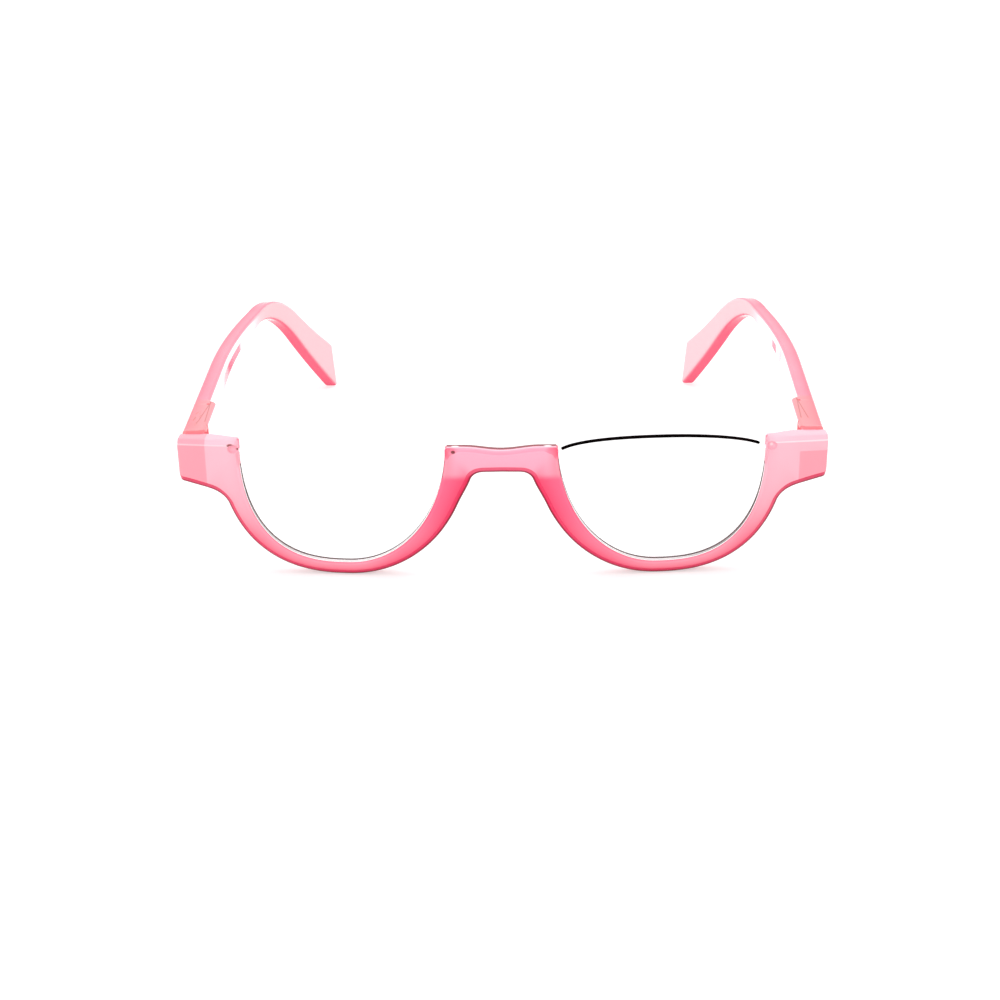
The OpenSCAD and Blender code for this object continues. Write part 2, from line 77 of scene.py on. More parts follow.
ARM_DROP, ARM_SHARE, ARM_BLEND, BEND_START = 14.4, 0.62, 0.45, 0.04
SEAT_TOP, SEAT_GAP = 0.45, 0.35
# Chamfers: width and depth at the upper edge, and at the lower front edge
END_CHAMFER, RIM_CHAMFER, SEAT_CHAMFER = 1.05, 1.05, 0.3
LOW_CHAMFER, LOW_DEPTH, END_LOW_DEPTH, RIM_LOW_DEPTH = 1.3, 0.9, 0.95, 0.85
# Sizes of the bridge and the pads
BRIDGE_CORNER = END_TOP - 1.1
BRIDGE_TOP = BRIDGE_CORNER - 0.7
BRIDGE_UNDER = BRIDGE_TOP - 4.7
BRIDGE_EXTRA, BRIDGE_SPREAD, BRIDGE_CHAMFER, BRIDGE_WAVE, BRIDGE_STEP = 0.25, 12, 0.62, 8, 0.4
CORNER_CUT, CORNER_DEPTH, CORNER_REACH, CORNER_FILL, FILL_RUN = 1.6, 0.9, 2.9, 1.0, 7
LEG_TOP, UNDER_HALF, UNDER_RISE, UNDER_PULL, UNDER_SHARE, UNDER_START = 1.5, 3.6, 0.05, 0.8, 0.6, 0.06
PAD_DEPTH, PAD_LOW, PAD_TOP_GAP, PAD_MIDDLE, PAD_OUTER = 4.0, 4.0, 0.6, 4.5, LENS_X - 9
PAD_LEAN, PAD_FLAT, PAD_FOOT, PAD_FOOT_SHARE, BACK_ROUND = 0.3, 1.1, 1.5, 0.06, 0.25
# Sizes of the lenses and their groove
LENS_TOP = END_TOP + 0.9
LENS_CORNER = LENS_TOP - 4.0
LENS_R1, LENS_R2, LENS_T, LENS_SET, LENS_BEVEL = 200.0, 240.0, 1.5, 0.15, 0.12
RIM_T = LENS_SET + LENS_T + 1.55
GROOVE, LENS_GAP, SIDE_GAP, GROOVE_EASE = 0.75, 0.12, 0.05, 0.1
# Where there is no groove, its corners lie at these shares of the way from front to rear
SPARE_FROM, SPARE_TO = 0.45, 0.65
CAP_Q_NOSE, CAP_Q_OUT = 2.2, 2.0
# Sizes of the temples and hinges
TEMPLE_X, TEMPLE_TOP = END_HALF - 0.5, END_TOP + 0.5
TEMPLE_T, TEMPLE_H0, TEMPLE_H1, TEMPLE_H2 = 3.5, 8.8, 3.3, 11.5
TAPER_START, TAPER_END = 1.1, 1.15
STRAIGHT, RISE, DROP, BEND_R = 86.5, math.radians(3.2), math.radians(46), 32.0
BOW_OUT, CURL_IN, CURL_FROM = 0.034, 20.4, 45.0
EDGE_R, TIP_R, TIP_CUT, TIP_RUN = 0.85, 0.5, 3.8, 14
HINGE_X, HINGE_Y, HINGE_Z = END_HALF - 3.4, END_BACK + 2.6, END_TOP - 4.3
KNUCKLE_R, KNUCKLE_H, KNUCKLE_GAP, KNUCKLE_BEVEL, KNUCKLE_ROOT, EYE_H = 1.4, 7.8, 0.1, 0.12, 0.8, 2.4
SCREW_R, SCREW_HEAD_R, SCREW_HEAD_H, HEAD_GAP, FIT_GAP, BORE_ROOF = 0.6, 0.98, 0.7, 0.06, 0.02, 1.0
SLOT_SIDE, SLOT_BACK = 0.25, 0.5
HEEL_IN, HEEL_OUT, HEEL_END, HEEL_EDGE, HEEL_START = 0.2, 3.0, 2.2, 0.3, 0.6
BOX_X, BOX_W, BOX_H, BOX_LEN = HINGE_X + 0.55, 2.6, 3.2, 13.2
BOX_Y0 = HINGE_Y + KNUCKLE_R + 1
PIN_R, PIN_IN, PIN_END, PIN_DEPTH = 0.4, 0.45, 1.3, 0.85
TEMPLE_GAP, HUMP, HUMP_SLOPE, HUMP_EASE, HUMP_LEN = 0.35, 1.5, 1.3, 0.16, BOX_LEN + 5
ROOF_GAP, ROOF_R, ROOF_W = 0.2, 2.3, 1.6
DIMPLE, DIMPLE_OUT, DIMPLE_BACK, DIMPLE_DROP = (1.05, 0.85, 0.95), 1.15, 0.25, 1.75
# Rounded corners: the most of an edge that the arc and its outer points take, and the plain lead in radii
MOST_ROUND, MOST_LEAD, PLAIN_LEAD = 0.42, 0.47, 1.15
# Corner radii of the fifteen-sided cuts of the front, and how far out each rounding's first point lies
FRONT_ROUND = (0.3, 0.2, 0.42, 0.3, 0.2, 0.25, 0.5, 0.25, 0.16, 0.16, 0.05, 0.05, 0.05, 0.05, 0.22)
FRONT_LEAD = np.where(np.arange(15) == 2, 1.5, PLAIN_LEAD)
# Depth of the dye and painted shade at the same corners, under the lenses, in the end pieces and in the
# bridge
RIM_DYE_AND_SHADE = (0.12, 0.7, 1, 1, 0.9, 0.8, 0.7, 0.6, 0.4, 0.3, 0.2, 0.2, 0.2, 0.2, 0.62)
END_DYE_AND_SHADE = (0, 0.25, 0.95, 0.9, 0.8, 0.6, 0.5, 0.4, 0.2, 0.1, 0.1, 0.1, 0.1, 0.1, 0.1)
BRIDGE_DYE_AND_SHADE = (0.02, 0.25, 0.9, 0.8, 0.8, 0.6, 0.5, 0.4, 0.3, 0.2, 0.1, 0.1, 0.1, 0.1, 0.45)
# Extra painted shade on the wide facets near the bridge's corners: its share, the facet width it grows over,
# and the x below which it lies
FACET_DYE_AND_SHADE, FACET_WIDE, FACET_NEAR = 0.2, 0.8, 14
# Steps of the dye and painted shade along x, each a start and a run: at the end pieces, past the bridge, past
# the legs, and over the outer half of the lens
DYE_AND_SHADE_STEPS = (50, 8), (8, 3.5), (14, 6), (44, 10)


# Curves
def lerp(a, b, t):
    return a + (b - a) * t


def smooth(t):
    t = np.clip(t, 0, 1)
    return t * t * (3 - 2 * t)


def wrap(x):
    """Forward bow of the front: a parabola of the wrap radius, y = x squared over twice the radius."""
    return x * x / (2 * WRAP_R)


def bezier(a, b, c, t):
    """Quadratic curve from a to c pulled towards b, at the values t."""
    t = np.asarray(t)[:, None]
    return (1 - t) ** 2 * np.asarray(a) + 2 * t * (1 - t) * np.asarray(b) + t * t * np.asarray(c)


def rim_curve(angle, out, nose, drop, q_out, q_nose):
    """Superellipse quarters about (LENS_X, END_TOP): x is the half width times the cosine and z the drop
    times the sine, each to the power 2/q. Angle 0 is the outer side, 90 degrees the bottom, 180 the nose."""
    outer_half = angle < math.pi / 2
    q = np.where(outer_half, q_out, q_nose)
    a = np.where(outer_half, out, -nose)
    cos, sin = np.abs(np.cos(angle)), np.clip(np.sin(angle), 0, 1)
    return np.stack([LENS_X + a * cos ** (2 / q), END_TOP - drop * sin ** (2 / q)], -1)


def lens_opening(angle, grow=0.0):
    return rim_curve(angle, LENS_OUT + grow, LENS_IN + grow, LENS_DROP + grow, Q_IN_OUT, Q_IN_NOSE)


def rim_outside(angle):
    return rim_curve(angle, LENS_OUT + RIM_SIDE, LENS_IN + RIM_NOSE, END_TOP, Q_OUT_OUT, Q_OUT_NOSE)


def angle_at_drop(d, drop, q):
    """Angle on the outer side at which a rim curve has come down by d."""
    return np.arcsin(np.clip(d / drop, 0, 1) ** (q / 2))


# Lens surfaces: two spheres, each given by the x and y of its centre
MID_Z = END_TOP / 2 + 1.5
TILT = LENS_X / WRAP_R
TILT_Y = math.sqrt(1 - TILT * TILT)
BALL_1 = (LENS_X - LENS_R1 * TILT, wrap(LENS_X) + LENS_SET + LENS_R1 * TILT_Y)
BALL_2 = (LENS_X - LENS_R2 * TILT, wrap(LENS_X) + LENS_SET + LENS_T + LENS_R2 * TILT_Y)


def lens_face(ball, radius, x, z):
    """Depth y of a sphere whose centre lies behind the front, at x and z."""
    return ball[1] - np.sqrt(radius ** 2 - (x - ball[0]) ** 2 - (z - MID_Z) ** 2)


# Front
def rear_face(x):
    """Back of the front: the bow plus the rim's depth, swelling to the end pieces' back face."""
    ax = np.abs(x)
    rim = wrap(x) + RIM_T + BRIDGE_EXTRA * (1 - smooth(ax / BRIDGE_SPREAD))
    return lerp(rim, END_BACK, smooth((ax - LENS_X - LENS_OUT - SWELL_START) / SWELL_RUN))


def stations(up, low, sizes, angle=None, draw=0.0):
    """One run of cuts, a row each: a point on the upper or lens edge, a point on the lower or nose edge, four
    chamfer sizes, the lens angle (none where there is no groove) and how far front and back are drawn in."""
    n = len(up)
    sizes = [np.broadcast_to(np.asarray(v, float), n) for v in sizes]
    angle = np.full(n, np.nan) if angle is None else angle
    return np.column_stack([up, low, *sizes, angle, np.broadcast_to(np.asarray(draw, float), n)])


def end_stations():
    """The rounded outer end, a quarter circle, and the straight block of the end piece."""
    sizes = (END_CHAMFER, END_CHAMFER, LOW_CHAMFER, END_LOW_DEPTH)
    up_end, low_end = np.array([END_HALF - END_ROUND, END_TOP]), np.array([END_HALF - END_FOOT, END_LOW])
    a = np.linspace(0, math.pi / 2, 8)[:-1]
    quarter = np.stack([np.cos(a), np.sin(a) - 1], -1)
    rounded = stations(up_end + END_ROUND * quarter, low_end + END_FOOT_ROUND * quarter * [1, -1], sizes,
                       draw=END_DRAW * (1 - np.sin(a)))
    t = np.linspace(0, 1, 34)[:, None]
    top_in = np.array([LENS_X + LENS_OUT + SEAT_GAP, END_TOP])
    block = stations(lerp(up_end, top_in, t), lerp(low_end, np.array(ARM_START), t), sizes)
    return np.concatenate([rounded, block])


def arm_stations():
    """The arm that leads down from the end piece to the rim: a bent lower edge, then the rim's outside."""
    t = np.linspace(0, 1, 70)
    meets = angle_at_drop(ARM_DROP, END_TOP, Q_OUT_OUT)
    lens_end = LENS_DROP * math.sin(RIM_FROM) ** (2 / Q_IN_OUT)
    angle = angle_at_drop(lerp(SEAT_TOP, lens_end, t), LENS_DROP, Q_IN_OUT)
    bent = bezier(ARM_START, ARM_PULL, rim_outside(np.array([meets]))[0],
                  np.clip(t / ARM_SHARE, 0, 1) * (1 - BEND_START) + BEND_START)
    round_part = rim_outside(lerp(meets, RIM_FROM, np.clip((t - ARM_SHARE) / (1 - ARM_SHARE), 0, 1)))
    low = np.where((t < ARM_SHARE)[:, None], bent, round_part)
    m = smooth(t / ARM_BLEND)
    upper = lerp(END_CHAMFER, SEAT_CHAMFER, m)
    sizes = (upper, upper, lerp(LOW_CHAMFER, RIM_CHAMFER, m), LOW_DEPTH)
    return stations(lens_opening(angle), low, sizes, angle)


def rim_stations():
    angle = np.linspace(RIM_FROM, RIM_TO, 120)[1:]
    sizes = (SEAT_CHAMFER, SEAT_CHAMFER, RIM_CHAMFER, RIM_LOW_DEPTH)
    return stations(lens_opening(angle), rim_outside(angle), sizes, angle)


def corner_chamfer(up, corner_x, plain):
    """Width and depth of the upper chamfer, which grow near the corner where leg and bridge meet."""
    near = 1 - smooth(np.linalg.norm(up - np.array([corner_x, BRIDGE_CORNER]), axis=1) / CORNER_REACH)
    return lerp(plain, CORNER_CUT, near), lerp(plain, CORNER_DEPTH, near)


def leg_stations():
    """The leg beside the nose, from the rim up to the bridge's corner."""
    t = np.linspace(0, 1, 60)[1:]
    up_drop = lerp(LENS_DROP * math.sin(RIM_TO) ** (2 / Q_IN_NOSE), END_TOP - BRIDGE_CORNER + SEAT_GAP, t)
    low_drop = lerp(END_TOP * math.sin(RIM_TO) ** (2 / Q_OUT_NOSE), END_TOP - BRIDGE_UNDER + LEG_TOP, t)
    angle = math.pi - angle_at_drop(up_drop, LENS_DROP, Q_IN_NOSE)
    up = lens_opening(angle)
    low = rim_outside(math.pi - angle_at_drop(low_drop, END_TOP, Q_OUT_NOSE))
    low[:, 0] -= CORNER_FILL * smooth((low[:, 1] - BRIDGE_UNDER + FILL_RUN + 0.2) / FILL_RUN)
    width, depth = corner_chamfer(up, up[-1, 0], SEAT_CHAMFER)
    return stations(up, low, (width, depth, lerp(RIM_CHAMFER, LOW_CHAMFER, smooth(t)), LOW_DEPTH), angle)


def bridge_stations(leg):
    """Half of the bridge, from the last cut of the leg to the middle. Its top edge is a cosine wave, and its
    lower edge bends out of the leg and then runs flat."""
    corner_x, leg_end = leg[-1, 0], (leg[-1, 2], leg[-1, 3])
    t = np.linspace(0, 1, 44)
    x = (corner_x - BRIDGE_STEP) * (1 - t)
    wave = (1 - np.cos(math.pi * np.clip(x / BRIDGE_WAVE, 0, 1))) / 2
    up = np.stack([x, lerp(BRIDGE_TOP, BRIDGE_CORNER, wave)], -1)
    s = UNDER_START + (1 - UNDER_START) * t
    flat_end = (UNDER_HALF, BRIDGE_UNDER)
    bent = bezier(leg_end, (leg_end[0] - UNDER_PULL, BRIDGE_UNDER), flat_end, np.clip(s / UNDER_SHARE, 0, 1))
    flat_share = np.clip((s - UNDER_SHARE) / (1 - UNDER_SHARE), 0, 1)[:, None]
    flat = lerp(np.array(flat_end), np.array([0.0, BRIDGE_UNDER + UNDER_RISE]), flat_share)
    width, depth = corner_chamfer(up, corner_x, BRIDGE_CHAMFER)
    low = np.where((s < UNDER_SHARE)[:, None], bent, flat)
    return stations(up, low, (width, depth, LOW_CHAMFER, LOW_DEPTH))


def front_cuts():
    """The fifteen corners of every cut along one half, from the end piece to the middle of the bridge, as an
    array of stations by corners by xyz. A corner is a share of the way from the upper to the lower edge, at
    a depth measured from the front face or the rear face. The pads rise from the rear as a squared sine."""
    leg = leg_stations()
    rows = np.concatenate([end_stations(), arm_stations(), rim_stations(), leg, bridge_stations(leg)])
    up, low, angle, draw = rows[:, 0:2], rows[:, 2:4], rows[:, 8], rows[:, 9]
    ci, di, co, do = rows[:, 4:8].T
    width = np.linalg.norm(low - up, axis=1)
    grooved = ~np.isnan(angle)
    height = np.clip((low[:, 1] - PAD_LOW) / (BRIDGE_UNDER - PAD_TOP_GAP - PAD_LOW), 0, 1)
    pad = PAD_DEPTH * np.sin(math.pi * height) ** 2
    pad = np.where((low[:, 0] > PAD_OUTER) | (low[:, 0] < PAD_MIDDLE), 0, pad)
    side = PAD_LEAN * pad

    def front(w, d):
        p = lerp(up, low, (w / width)[:, None])
        return np.stack([p[:, 0], wrap(p[:, 0]) + d + draw, p[:, 1]], -1)

    def back(w, d):
        p = lerp(up, low, (w / width)[:, None])
        return np.stack([p[:, 0], rear_face(p[:, 0]) + d - draw, p[:, 1]], -1)

    def inner(p, y):
        return np.stack([p[:, 0], y, p[:, 1]], -1)

    face, rear = wrap(up[:, 0]) + draw, rear_face(up[:, 0]) - draw
    y0 = np.where(grooved, lens_face(BALL_1, LENS_R1, *up.T) - SIDE_GAP, lerp(face, rear, SPARE_FROM))
    y1 = np.where(grooved, lens_face(BALL_2, LENS_R2, *up.T) + SIDE_GAP, lerp(face, rear, SPARE_TO))
    floor = np.where(grooved[:, None], lens_opening(np.nan_to_num(angle, nan=1.0), GROOVE), up)
    ease = np.where(grooved, 0, GROOVE_EASE)
    zero = np.zeros(len(up))
    return np.stack([
        front(ci, 0), front(width - co, 0), front(width, do), front(width, RIM_T * 0.7),
        back(width - side, pad - BACK_ROUND), back(width - side - BACK_ROUND, pad),
        back(width - side - PAD_FLAT, pad), back(width - side - PAD_FOOT, pad * PAD_FOOT_SHARE),
        back(zero + BACK_ROUND, 0), inner(up, rear - BACK_ROUND),
        inner(up, y1), inner(floor, y1 - ease), inner(floor, y0 + ease), inner(up, y0),
        inner(up, face + di)], 1)


def round_corners(cuts, radii, leads, steps=3):
    """Each corner becomes a quadratic arc between the points one radius away along its two edges, with a
    further point a little outside each end so that the flats shade flat. The lead is how far out the first
    of them lies, in radii."""
    before, after = np.roll(cuts, 1, 1) - cuts, np.roll(cuts, -1, 1) - cuts
    radii, leads = np.asarray(radii)[None, :, None], np.asarray(leads)[None, :, None]
    before_share, after_share = [
        np.minimum(radii / np.maximum(np.linalg.norm(edge, axis=2, keepdims=True), 1e-6), MOST_ROUND)
        for edge in (before, after)]
    start, end = cuts + before * before_share, cuts + after * after_share
    rows = [cuts + before * np.minimum(before_share * leads, MOST_LEAD)]
    for t in np.linspace(0, 1, steps + 1):
        rows.append((1 - t) ** 2 * start + 2 * t * (1 - t) * cuts + t * t * end)
    rows.append(cuts + after * np.minimum(after_share * PLAIN_LEAD, MOST_LEAD))
    n, corners = cuts.shape[:2]
    return np.stack(rows, 2).reshape(n, corners * len(rows), 3)


def front_dye_and_shade(cuts):
    """Dye and painted shade at the rounded corners of each cut: three rows of shares, blended along the front
    by smooth steps in x. The lower chamfer is deep from its first corner on, and the wide facets near the
    bridge's corners are a little deeper than the narrow ones. The deepening at the lower edges is partly the
    plastic's tint and partly painted shade."""
    x = cuts[:, :1, 0]
    at_end, past_bridge, past_legs, over_lens = [smooth((x - start) / run) for start, run in DYE_AND_SHADE_STEPS]
    outer = lerp(np.array(RIM_DYE_AND_SHADE), np.array(END_DYE_AND_SHADE), at_end)
    dye_and_shade = lerp(outer, np.array(BRIDGE_DYE_AND_SHADE), 1 - past_bridge)
    rows = np.repeat(dye_and_shade[:, :, None], 6, axis=2)
    rows[:, 1, 2:] = lerp(0.93, 0.88, 1 - past_legs)
    rows[:, 0, :3] = lerp(0.1, 0.45, 1 - over_lens)
    facet = np.linalg.norm(cuts[:, 0] - cuts[:, 14], axis=1, keepdims=True)
    facet = FACET_DYE_AND_SHADE * smooth(facet / FACET_WIDE - 0.75) * (x < FACET_NEAR)
    rows[:, 14, 3:] += facet
    rows[:, 0, :3] += facet
    return rows.reshape(len(cuts), -1)


# Temples
RISE_END = np.array([END_BACK + TEMPLE_GAP + STRAIGHT * math.cos(RISE),
                     TEMPLE_TOP - TEMPLE_H0 / 2 + STRAIGHT * math.sin(RISE)])
BEND_LEN = BEND_R * (RISE + DROP)
BEND_END = RISE_END + BEND_R * np.array([math.sin(RISE) + math.sin(DROP), math.cos(DROP) - math.cos(RISE)])
TAIL_LEN = (BEND_END[1] - TEMPLE_H2 / 2 * math.cos(DROP)) / math.sin(DROP)
TEMPLE_LEN = STRAIGHT + BEND_LEN + TAIL_LEN


def temple_line(s):
    """Centre line of the temple in side view at the distance s: a straight rise, a circular bend and a
    straight tail. Gives its depth, its height and its slope."""
    slope = RISE - np.clip(s - STRAIGHT, 0, BEND_LEN) / BEND_R
    tail = np.maximum(s - STRAIGHT - BEND_LEN, 0)
    run = np.minimum(s - STRAIGHT, 0)
    bend_y, bend_z = math.sin(RISE) - np.sin(slope), np.cos(slope) - math.cos(RISE)
    y = RISE_END[0] + run * math.cos(RISE) + BEND_R * bend_y + tail * math.cos(DROP)
    z = RISE_END[1] + run * math.sin(RISE) + BEND_R * bend_z - tail * math.sin(DROP)
    return y, z, slope


def temple_outside(s):
    """Sideways place of the outer face: a slow bow outwards and, from CURL_FROM on, a parabola inwards."""
    curl = np.maximum(0, s - CURL_FROM) / (TEMPLE_LEN - CURL_FROM)
    return TEMPLE_X + BOW_OUT * s - CURL_IN * curl ** 2


def temple_hump(s):
    """Extra thickness over the spring box, which ends in a slope with eased edges."""
    t = (s - HUMP_LEN) / HUMP_SLOPE
    return HUMP * (1 - (np.sqrt(t * t + HUMP_EASE ** 2) - np.sqrt((t - 1) ** 2 + HUMP_EASE ** 2) + 1) / 2)


def temple_height(s):
    """Height of the section: a taper to the bend and a swelling to the tip, each a power of the distance."""
    taper = (TEMPLE_H0 - TEMPLE_H1) * np.clip(1 - s / STRAIGHT, 0, 1) ** TAPER_START
    swell = (TEMPLE_H2 - TEMPLE_H1) * np.clip((s - STRAIGHT) / (TEMPLE_LEN - STRAIGHT), 0, 1) ** TAPER_END
    return TEMPLE_H1 + taper + swell


def temple_sections():
    """Rounded oblong cuts of the temple, square to its centre line. Near the tip their tops lean back towards
    the hinge, and the last few cuts shrink on a quarter circle to round the end's rim."""
    quarter = np.linspace(0, math.pi / 2, 6)[1:]
    s = np.concatenate([
        np.linspace(-1.5, HUMP_LEN - 1, 24), np.linspace(HUMP_LEN - 0.8, HUMP_LEN + 2.2, 24),
        np.linspace(HUMP_LEN + 2.6, STRAIGHT, 60), STRAIGHT + np.linspace(0, BEND_LEN, 50)[1:],
        STRAIGHT + BEND_LEN + np.linspace(0, TAIL_LEN - TIP_R, 36)[1:],
        TEMPLE_LEN - TIP_R * (1 - np.sin(quarter))])
    shrink = np.zeros(len(s))
    shrink[-len(quarter):] = TIP_R * (1 - np.cos(quarter))
    y, z, slope = temple_line(s)
    h, out = temple_height(s) / 2, temple_outside(s)
    inside = out - TEMPLE_T - temple_hump(s)
    r = np.minimum(EDGE_R, h - 0.5)
    lean = TIP_CUT * smooth((s - TEMPLE_LEN + TIP_RUN) / TIP_RUN)
    side_slope = 2 * CURL_IN * np.maximum(0, s - CURL_FROM) / (TEMPLE_LEN - CURL_FROM) ** 2
    mid_x = (out + inside) / 2
    steps = np.concatenate([[-4], np.linspace(0, 90, 11), [94]])
    rows = []
    for corner_x, corner_v, start in ((out - r, h - r, 0), (inside + r, h - r, 90),
                                      (inside + r, r - h, 180), (out - r, r - h, 270)):
        for angle in np.radians(start + steps):
            edge = np.clip(angle, math.radians(start), math.radians(start + 90))
            slide = angle - edge
            x = corner_x + r * (np.cos(edge) - slide * np.sin(edge))
            v = corner_v + r * (np.sin(edge) + slide * np.cos(edge))
            x = x + shrink * np.sign(mid_x - x)
            v = v - shrink * np.sign(v)
            back = lean * (v + h) / (2 * h)
            rows.append(np.stack([x + back * side_slope, y - v * np.sin(slope) - back * np.cos(slope),
                                  z + v * np.cos(slope) - back * np.sin(slope)], -1))
    return np.stack(rows, 1)


# Meshes
def to_row(points, side=1):
    """Millimetres in the front's frame to metres in the row's frame, mirrored for the right side."""
    p = np.asarray(points, float).reshape(-1, 3) * [side, 1, 1]
    return (p + [0, BACK_SHIFT, 0]) * 0.001


def make_mesh(name, points, faces, side=1):
    mesh = bpy.data.meshes.new(name)
    faces = [tuple(f[::-1]) for f in faces] if side < 0 else faces
    mesh.from_pydata(to_row(points, side), [], faces)
    mesh.validate()
    piece = bpy.data.objects.new(name, mesh)
    bpy.context.scene.collection.objects.link(piece)
    return piece


def tube_faces(n, m):
    """Quads between n rings of m points, and one face over each end."""
    j, i = np.meshgrid(np.arange(n - 1), np.arange(m), indexing="ij")
    a, b = j * m + i, j * m + (i + 1) % m
    quads = np.stack([a, b, b + m, a + m], -1).reshape(-1, 4).tolist()
    return quads + [list(range(m))[::-1], [(n - 1) * m + k for k in range(m)]]


def sweep(name, rings, side=1):
    return make_mesh(name, rings, tube_faces(*rings.shape[:2]), side)


def set_dye_and_shade(piece, dye_and_shade):
    """Stores how deep the dye and painted shade look at each point, 0 to 1, for the material to read."""
    layer = piece.data.attributes.new("dye_and_shade", "FLOAT", "POINT")
    layer.data.foreach_set("value", np.ascontiguousarray(dye_and_shade, dtype=np.float32).ravel())


def outwards(piece):
    """Merges doubles and turns all faces outwards."""
    bm = bmesh.new()
    bm.from_mesh(piece.data)
    bmesh.ops.remove_doubles(bm, verts=bm.verts, dist=1e-7)
    bmesh.ops.recalc_face_normals(bm, faces=bm.faces)
    bm.to_mesh(piece.data)
    bm.free()


def prism(name, outline, z0, z1, side=1, bevel=0.0):
    """Upright block over an outline in x and y, with its two end edges drawn in by the bevel."""
    outline = np.asarray(outline, float)
    away = outline - outline.mean(0)
    away = away / np.maximum(np.linalg.norm(away, axis=1, keepdims=True), 1e-9)
    levels = ((z0, bevel), (z0 + bevel, 0), (z1 - bevel, 0), (z1, bevel)) if bevel else ((z0, 0), (z1, 0))
    rings = [np.column_stack([outline - away * draw, np.full(len(outline), z)]) for z, draw in levels]
    piece = sweep(name, np.stack(rings), side)
    outwards(piece)
    return piece


def circle(x, y, r, n=48):
    a = np.linspace(0, 2 * math.pi, n, endpoint=False)
    return np.stack([x + r * np.cos(a), y + r * np.sin(a)], -1)


def oblong(x0, x1, y0, y1):
    return np.array([(x0, y0), (x1, y0), (x1, y1), (x0, y1)])


def ball(name, centre, radii, side=1, n=24):
    """Ellipsoid: latitude rings of sine times radius."""
    lat = np.linspace(0.02, math.pi - 0.02, n)
    lon = np.linspace(0, 2 * math.pi, 2 * n, endpoint=False)
    x = np.sin(lat)[:, None] * np.cos(lon)[None]
    z = np.sin(lat)[:, None] * np.sin(lon)[None]
    y = np.repeat(np.cos(lat)[:, None], len(lon), 1)
    piece = sweep(name, np.stack([x, y, z], -1) * radii + centre, side)
    outwards(piece)
    return piece


def carve(piece, others, how):
    """Joins the others to the piece, or cuts them out of it, and removes them."""
    for other in others:
        for mat in piece.data.materials:
            other.data.materials.append(mat)
        mod = piece.modifiers.new("carve", "BOOLEAN")
        mod.operation, mod.object, mod.solver = how, other, "MANIFOLD"
    bpy.context.view_layer.update()
    done = bpy.data.meshes.new_from_object(piece.evaluated_get(bpy.context.evaluated_depsgraph_get()))
    piece.modifiers.clear()
    old, piece.data = piece.data, done
    done.name = piece.name
    bpy.data.meshes.remove(old)
    for other in others:
        bpy.data.objects.remove(other)


def finish_mesh(piece, angle=24):
    piece.data.shade_smooth()
    piece.data.set_sharp_from_angle(angle=math.radians(angle))


# Pieces
def knuckles(side):
    """Two lobes round the hinge's axis, above and below the eye."""
    a = np.linspace(0, math.pi, 25)
    lobe = np.stack([HINGE_X + KNUCKLE_R * np.cos(a), HINGE_Y + KNUCKLE_R * np.sin(a)], -1)
    root_y = END_BACK - KNUCKLE_ROOT
    root = [(HINGE_X - KNUCKLE_R, root_y), (HINGE_X + KNUCKLE_R * 0.75, root_y)]
    outline = np.concatenate([lobe, root])
    spans = ((HINGE_Z - KNUCKLE_H / 2, HINGE_Z - EYE_H / 2 - KNUCKLE_GAP),
             (HINGE_Z + EYE_H / 2 + KNUCKLE_GAP, HINGE_Z + KNUCKLE_H / 2))
    return [prism("knuckle", outline, z0, z1, side, KNUCKLE_BEVEL) for z0, z1 in spans]


def front_bores(side):
    """The screw's bore, the sink for its head, and the round dimple beside the lens."""
    low = HINGE_Z - KNUCKLE_H / 2
    bore = circle(HINGE_X, HINGE_Y, SCREW_R + FIT_GAP)
    sink = circle(HINGE_X, HINGE_Y, SCREW_HEAD_R + HEAD_GAP)
    x = LENS_X + LENS_OUT + DIMPLE_OUT
    return [prism("bore", bore, low - 1, low + KNUCKLE_H - BORE_ROOF, side),
            prism("sink", sink, low - 1, low + SCREW_HEAD_H, side),
            ball("dimple", (x, wrap(x) + DIMPLE_BACK, END_TOP - DIMPLE_DROP), DIMPLE, side)]


def front_slots(rings, count):
    """Material of each face: 1 on the walls of the lens seat, 2 on the lower front edge and on the small
    upper chamfer where the leg meets the bridge, 0 elsewhere."""
    m = rings.shape[1]
    per = m // len(FRONT_ROUND)
    ring, place = np.divmod(np.arange((len(rings) - 1) * m), m)
    out = np.abs(rings[ring, 0, 0])
    grooved = (out > LENS_X - LENS_IN) & (out < LENS_X + LENS_OUT)
    upper = grooved & (out < LENS_X - LENS_IN + 3) & (rings[ring, 0, 2] > BRIDGE_UNDER - 1.2)
    slot = np.zeros(count, int)
    body = slot[:len(place)]
    body[grooved & (place >= 9 * per - 1) & (place <= 14 * per + 1)] = 1
    body[(place >= 2 * per) & (place < 3 * per - 1)] = 2
    body[upper & (place >= 14 * per + 1)] = 2
    return slot


def front_piece(materials):
    cuts = front_cuts()
    half = round_corners(cuts, FRONT_ROUND, FRONT_LEAD)
    rings = np.concatenate([half, half[-2::-1] * [-1, 1, 1]])
    piece = sweep("moulded_front", rings)
    dye_and_shade = front_dye_and_shade(cuts)
    set_dye_and_shade(piece, np.concatenate([dye_and_shade, dye_and_shade[-2::-1]]))
    for mat in materials:
        piece.data.materials.append(mat)
    piece.data.polygons.foreach_set("material_index", front_slots(rings, len(piece.data.polygons)))
    outwards(piece)
    carve(piece, knuckles(1) + knuckles(-1), "UNION")
    carve(piece, front_bores(1) + front_bores(-1), "DIFFERENCE")
    finish_mesh(piece)
    return piece


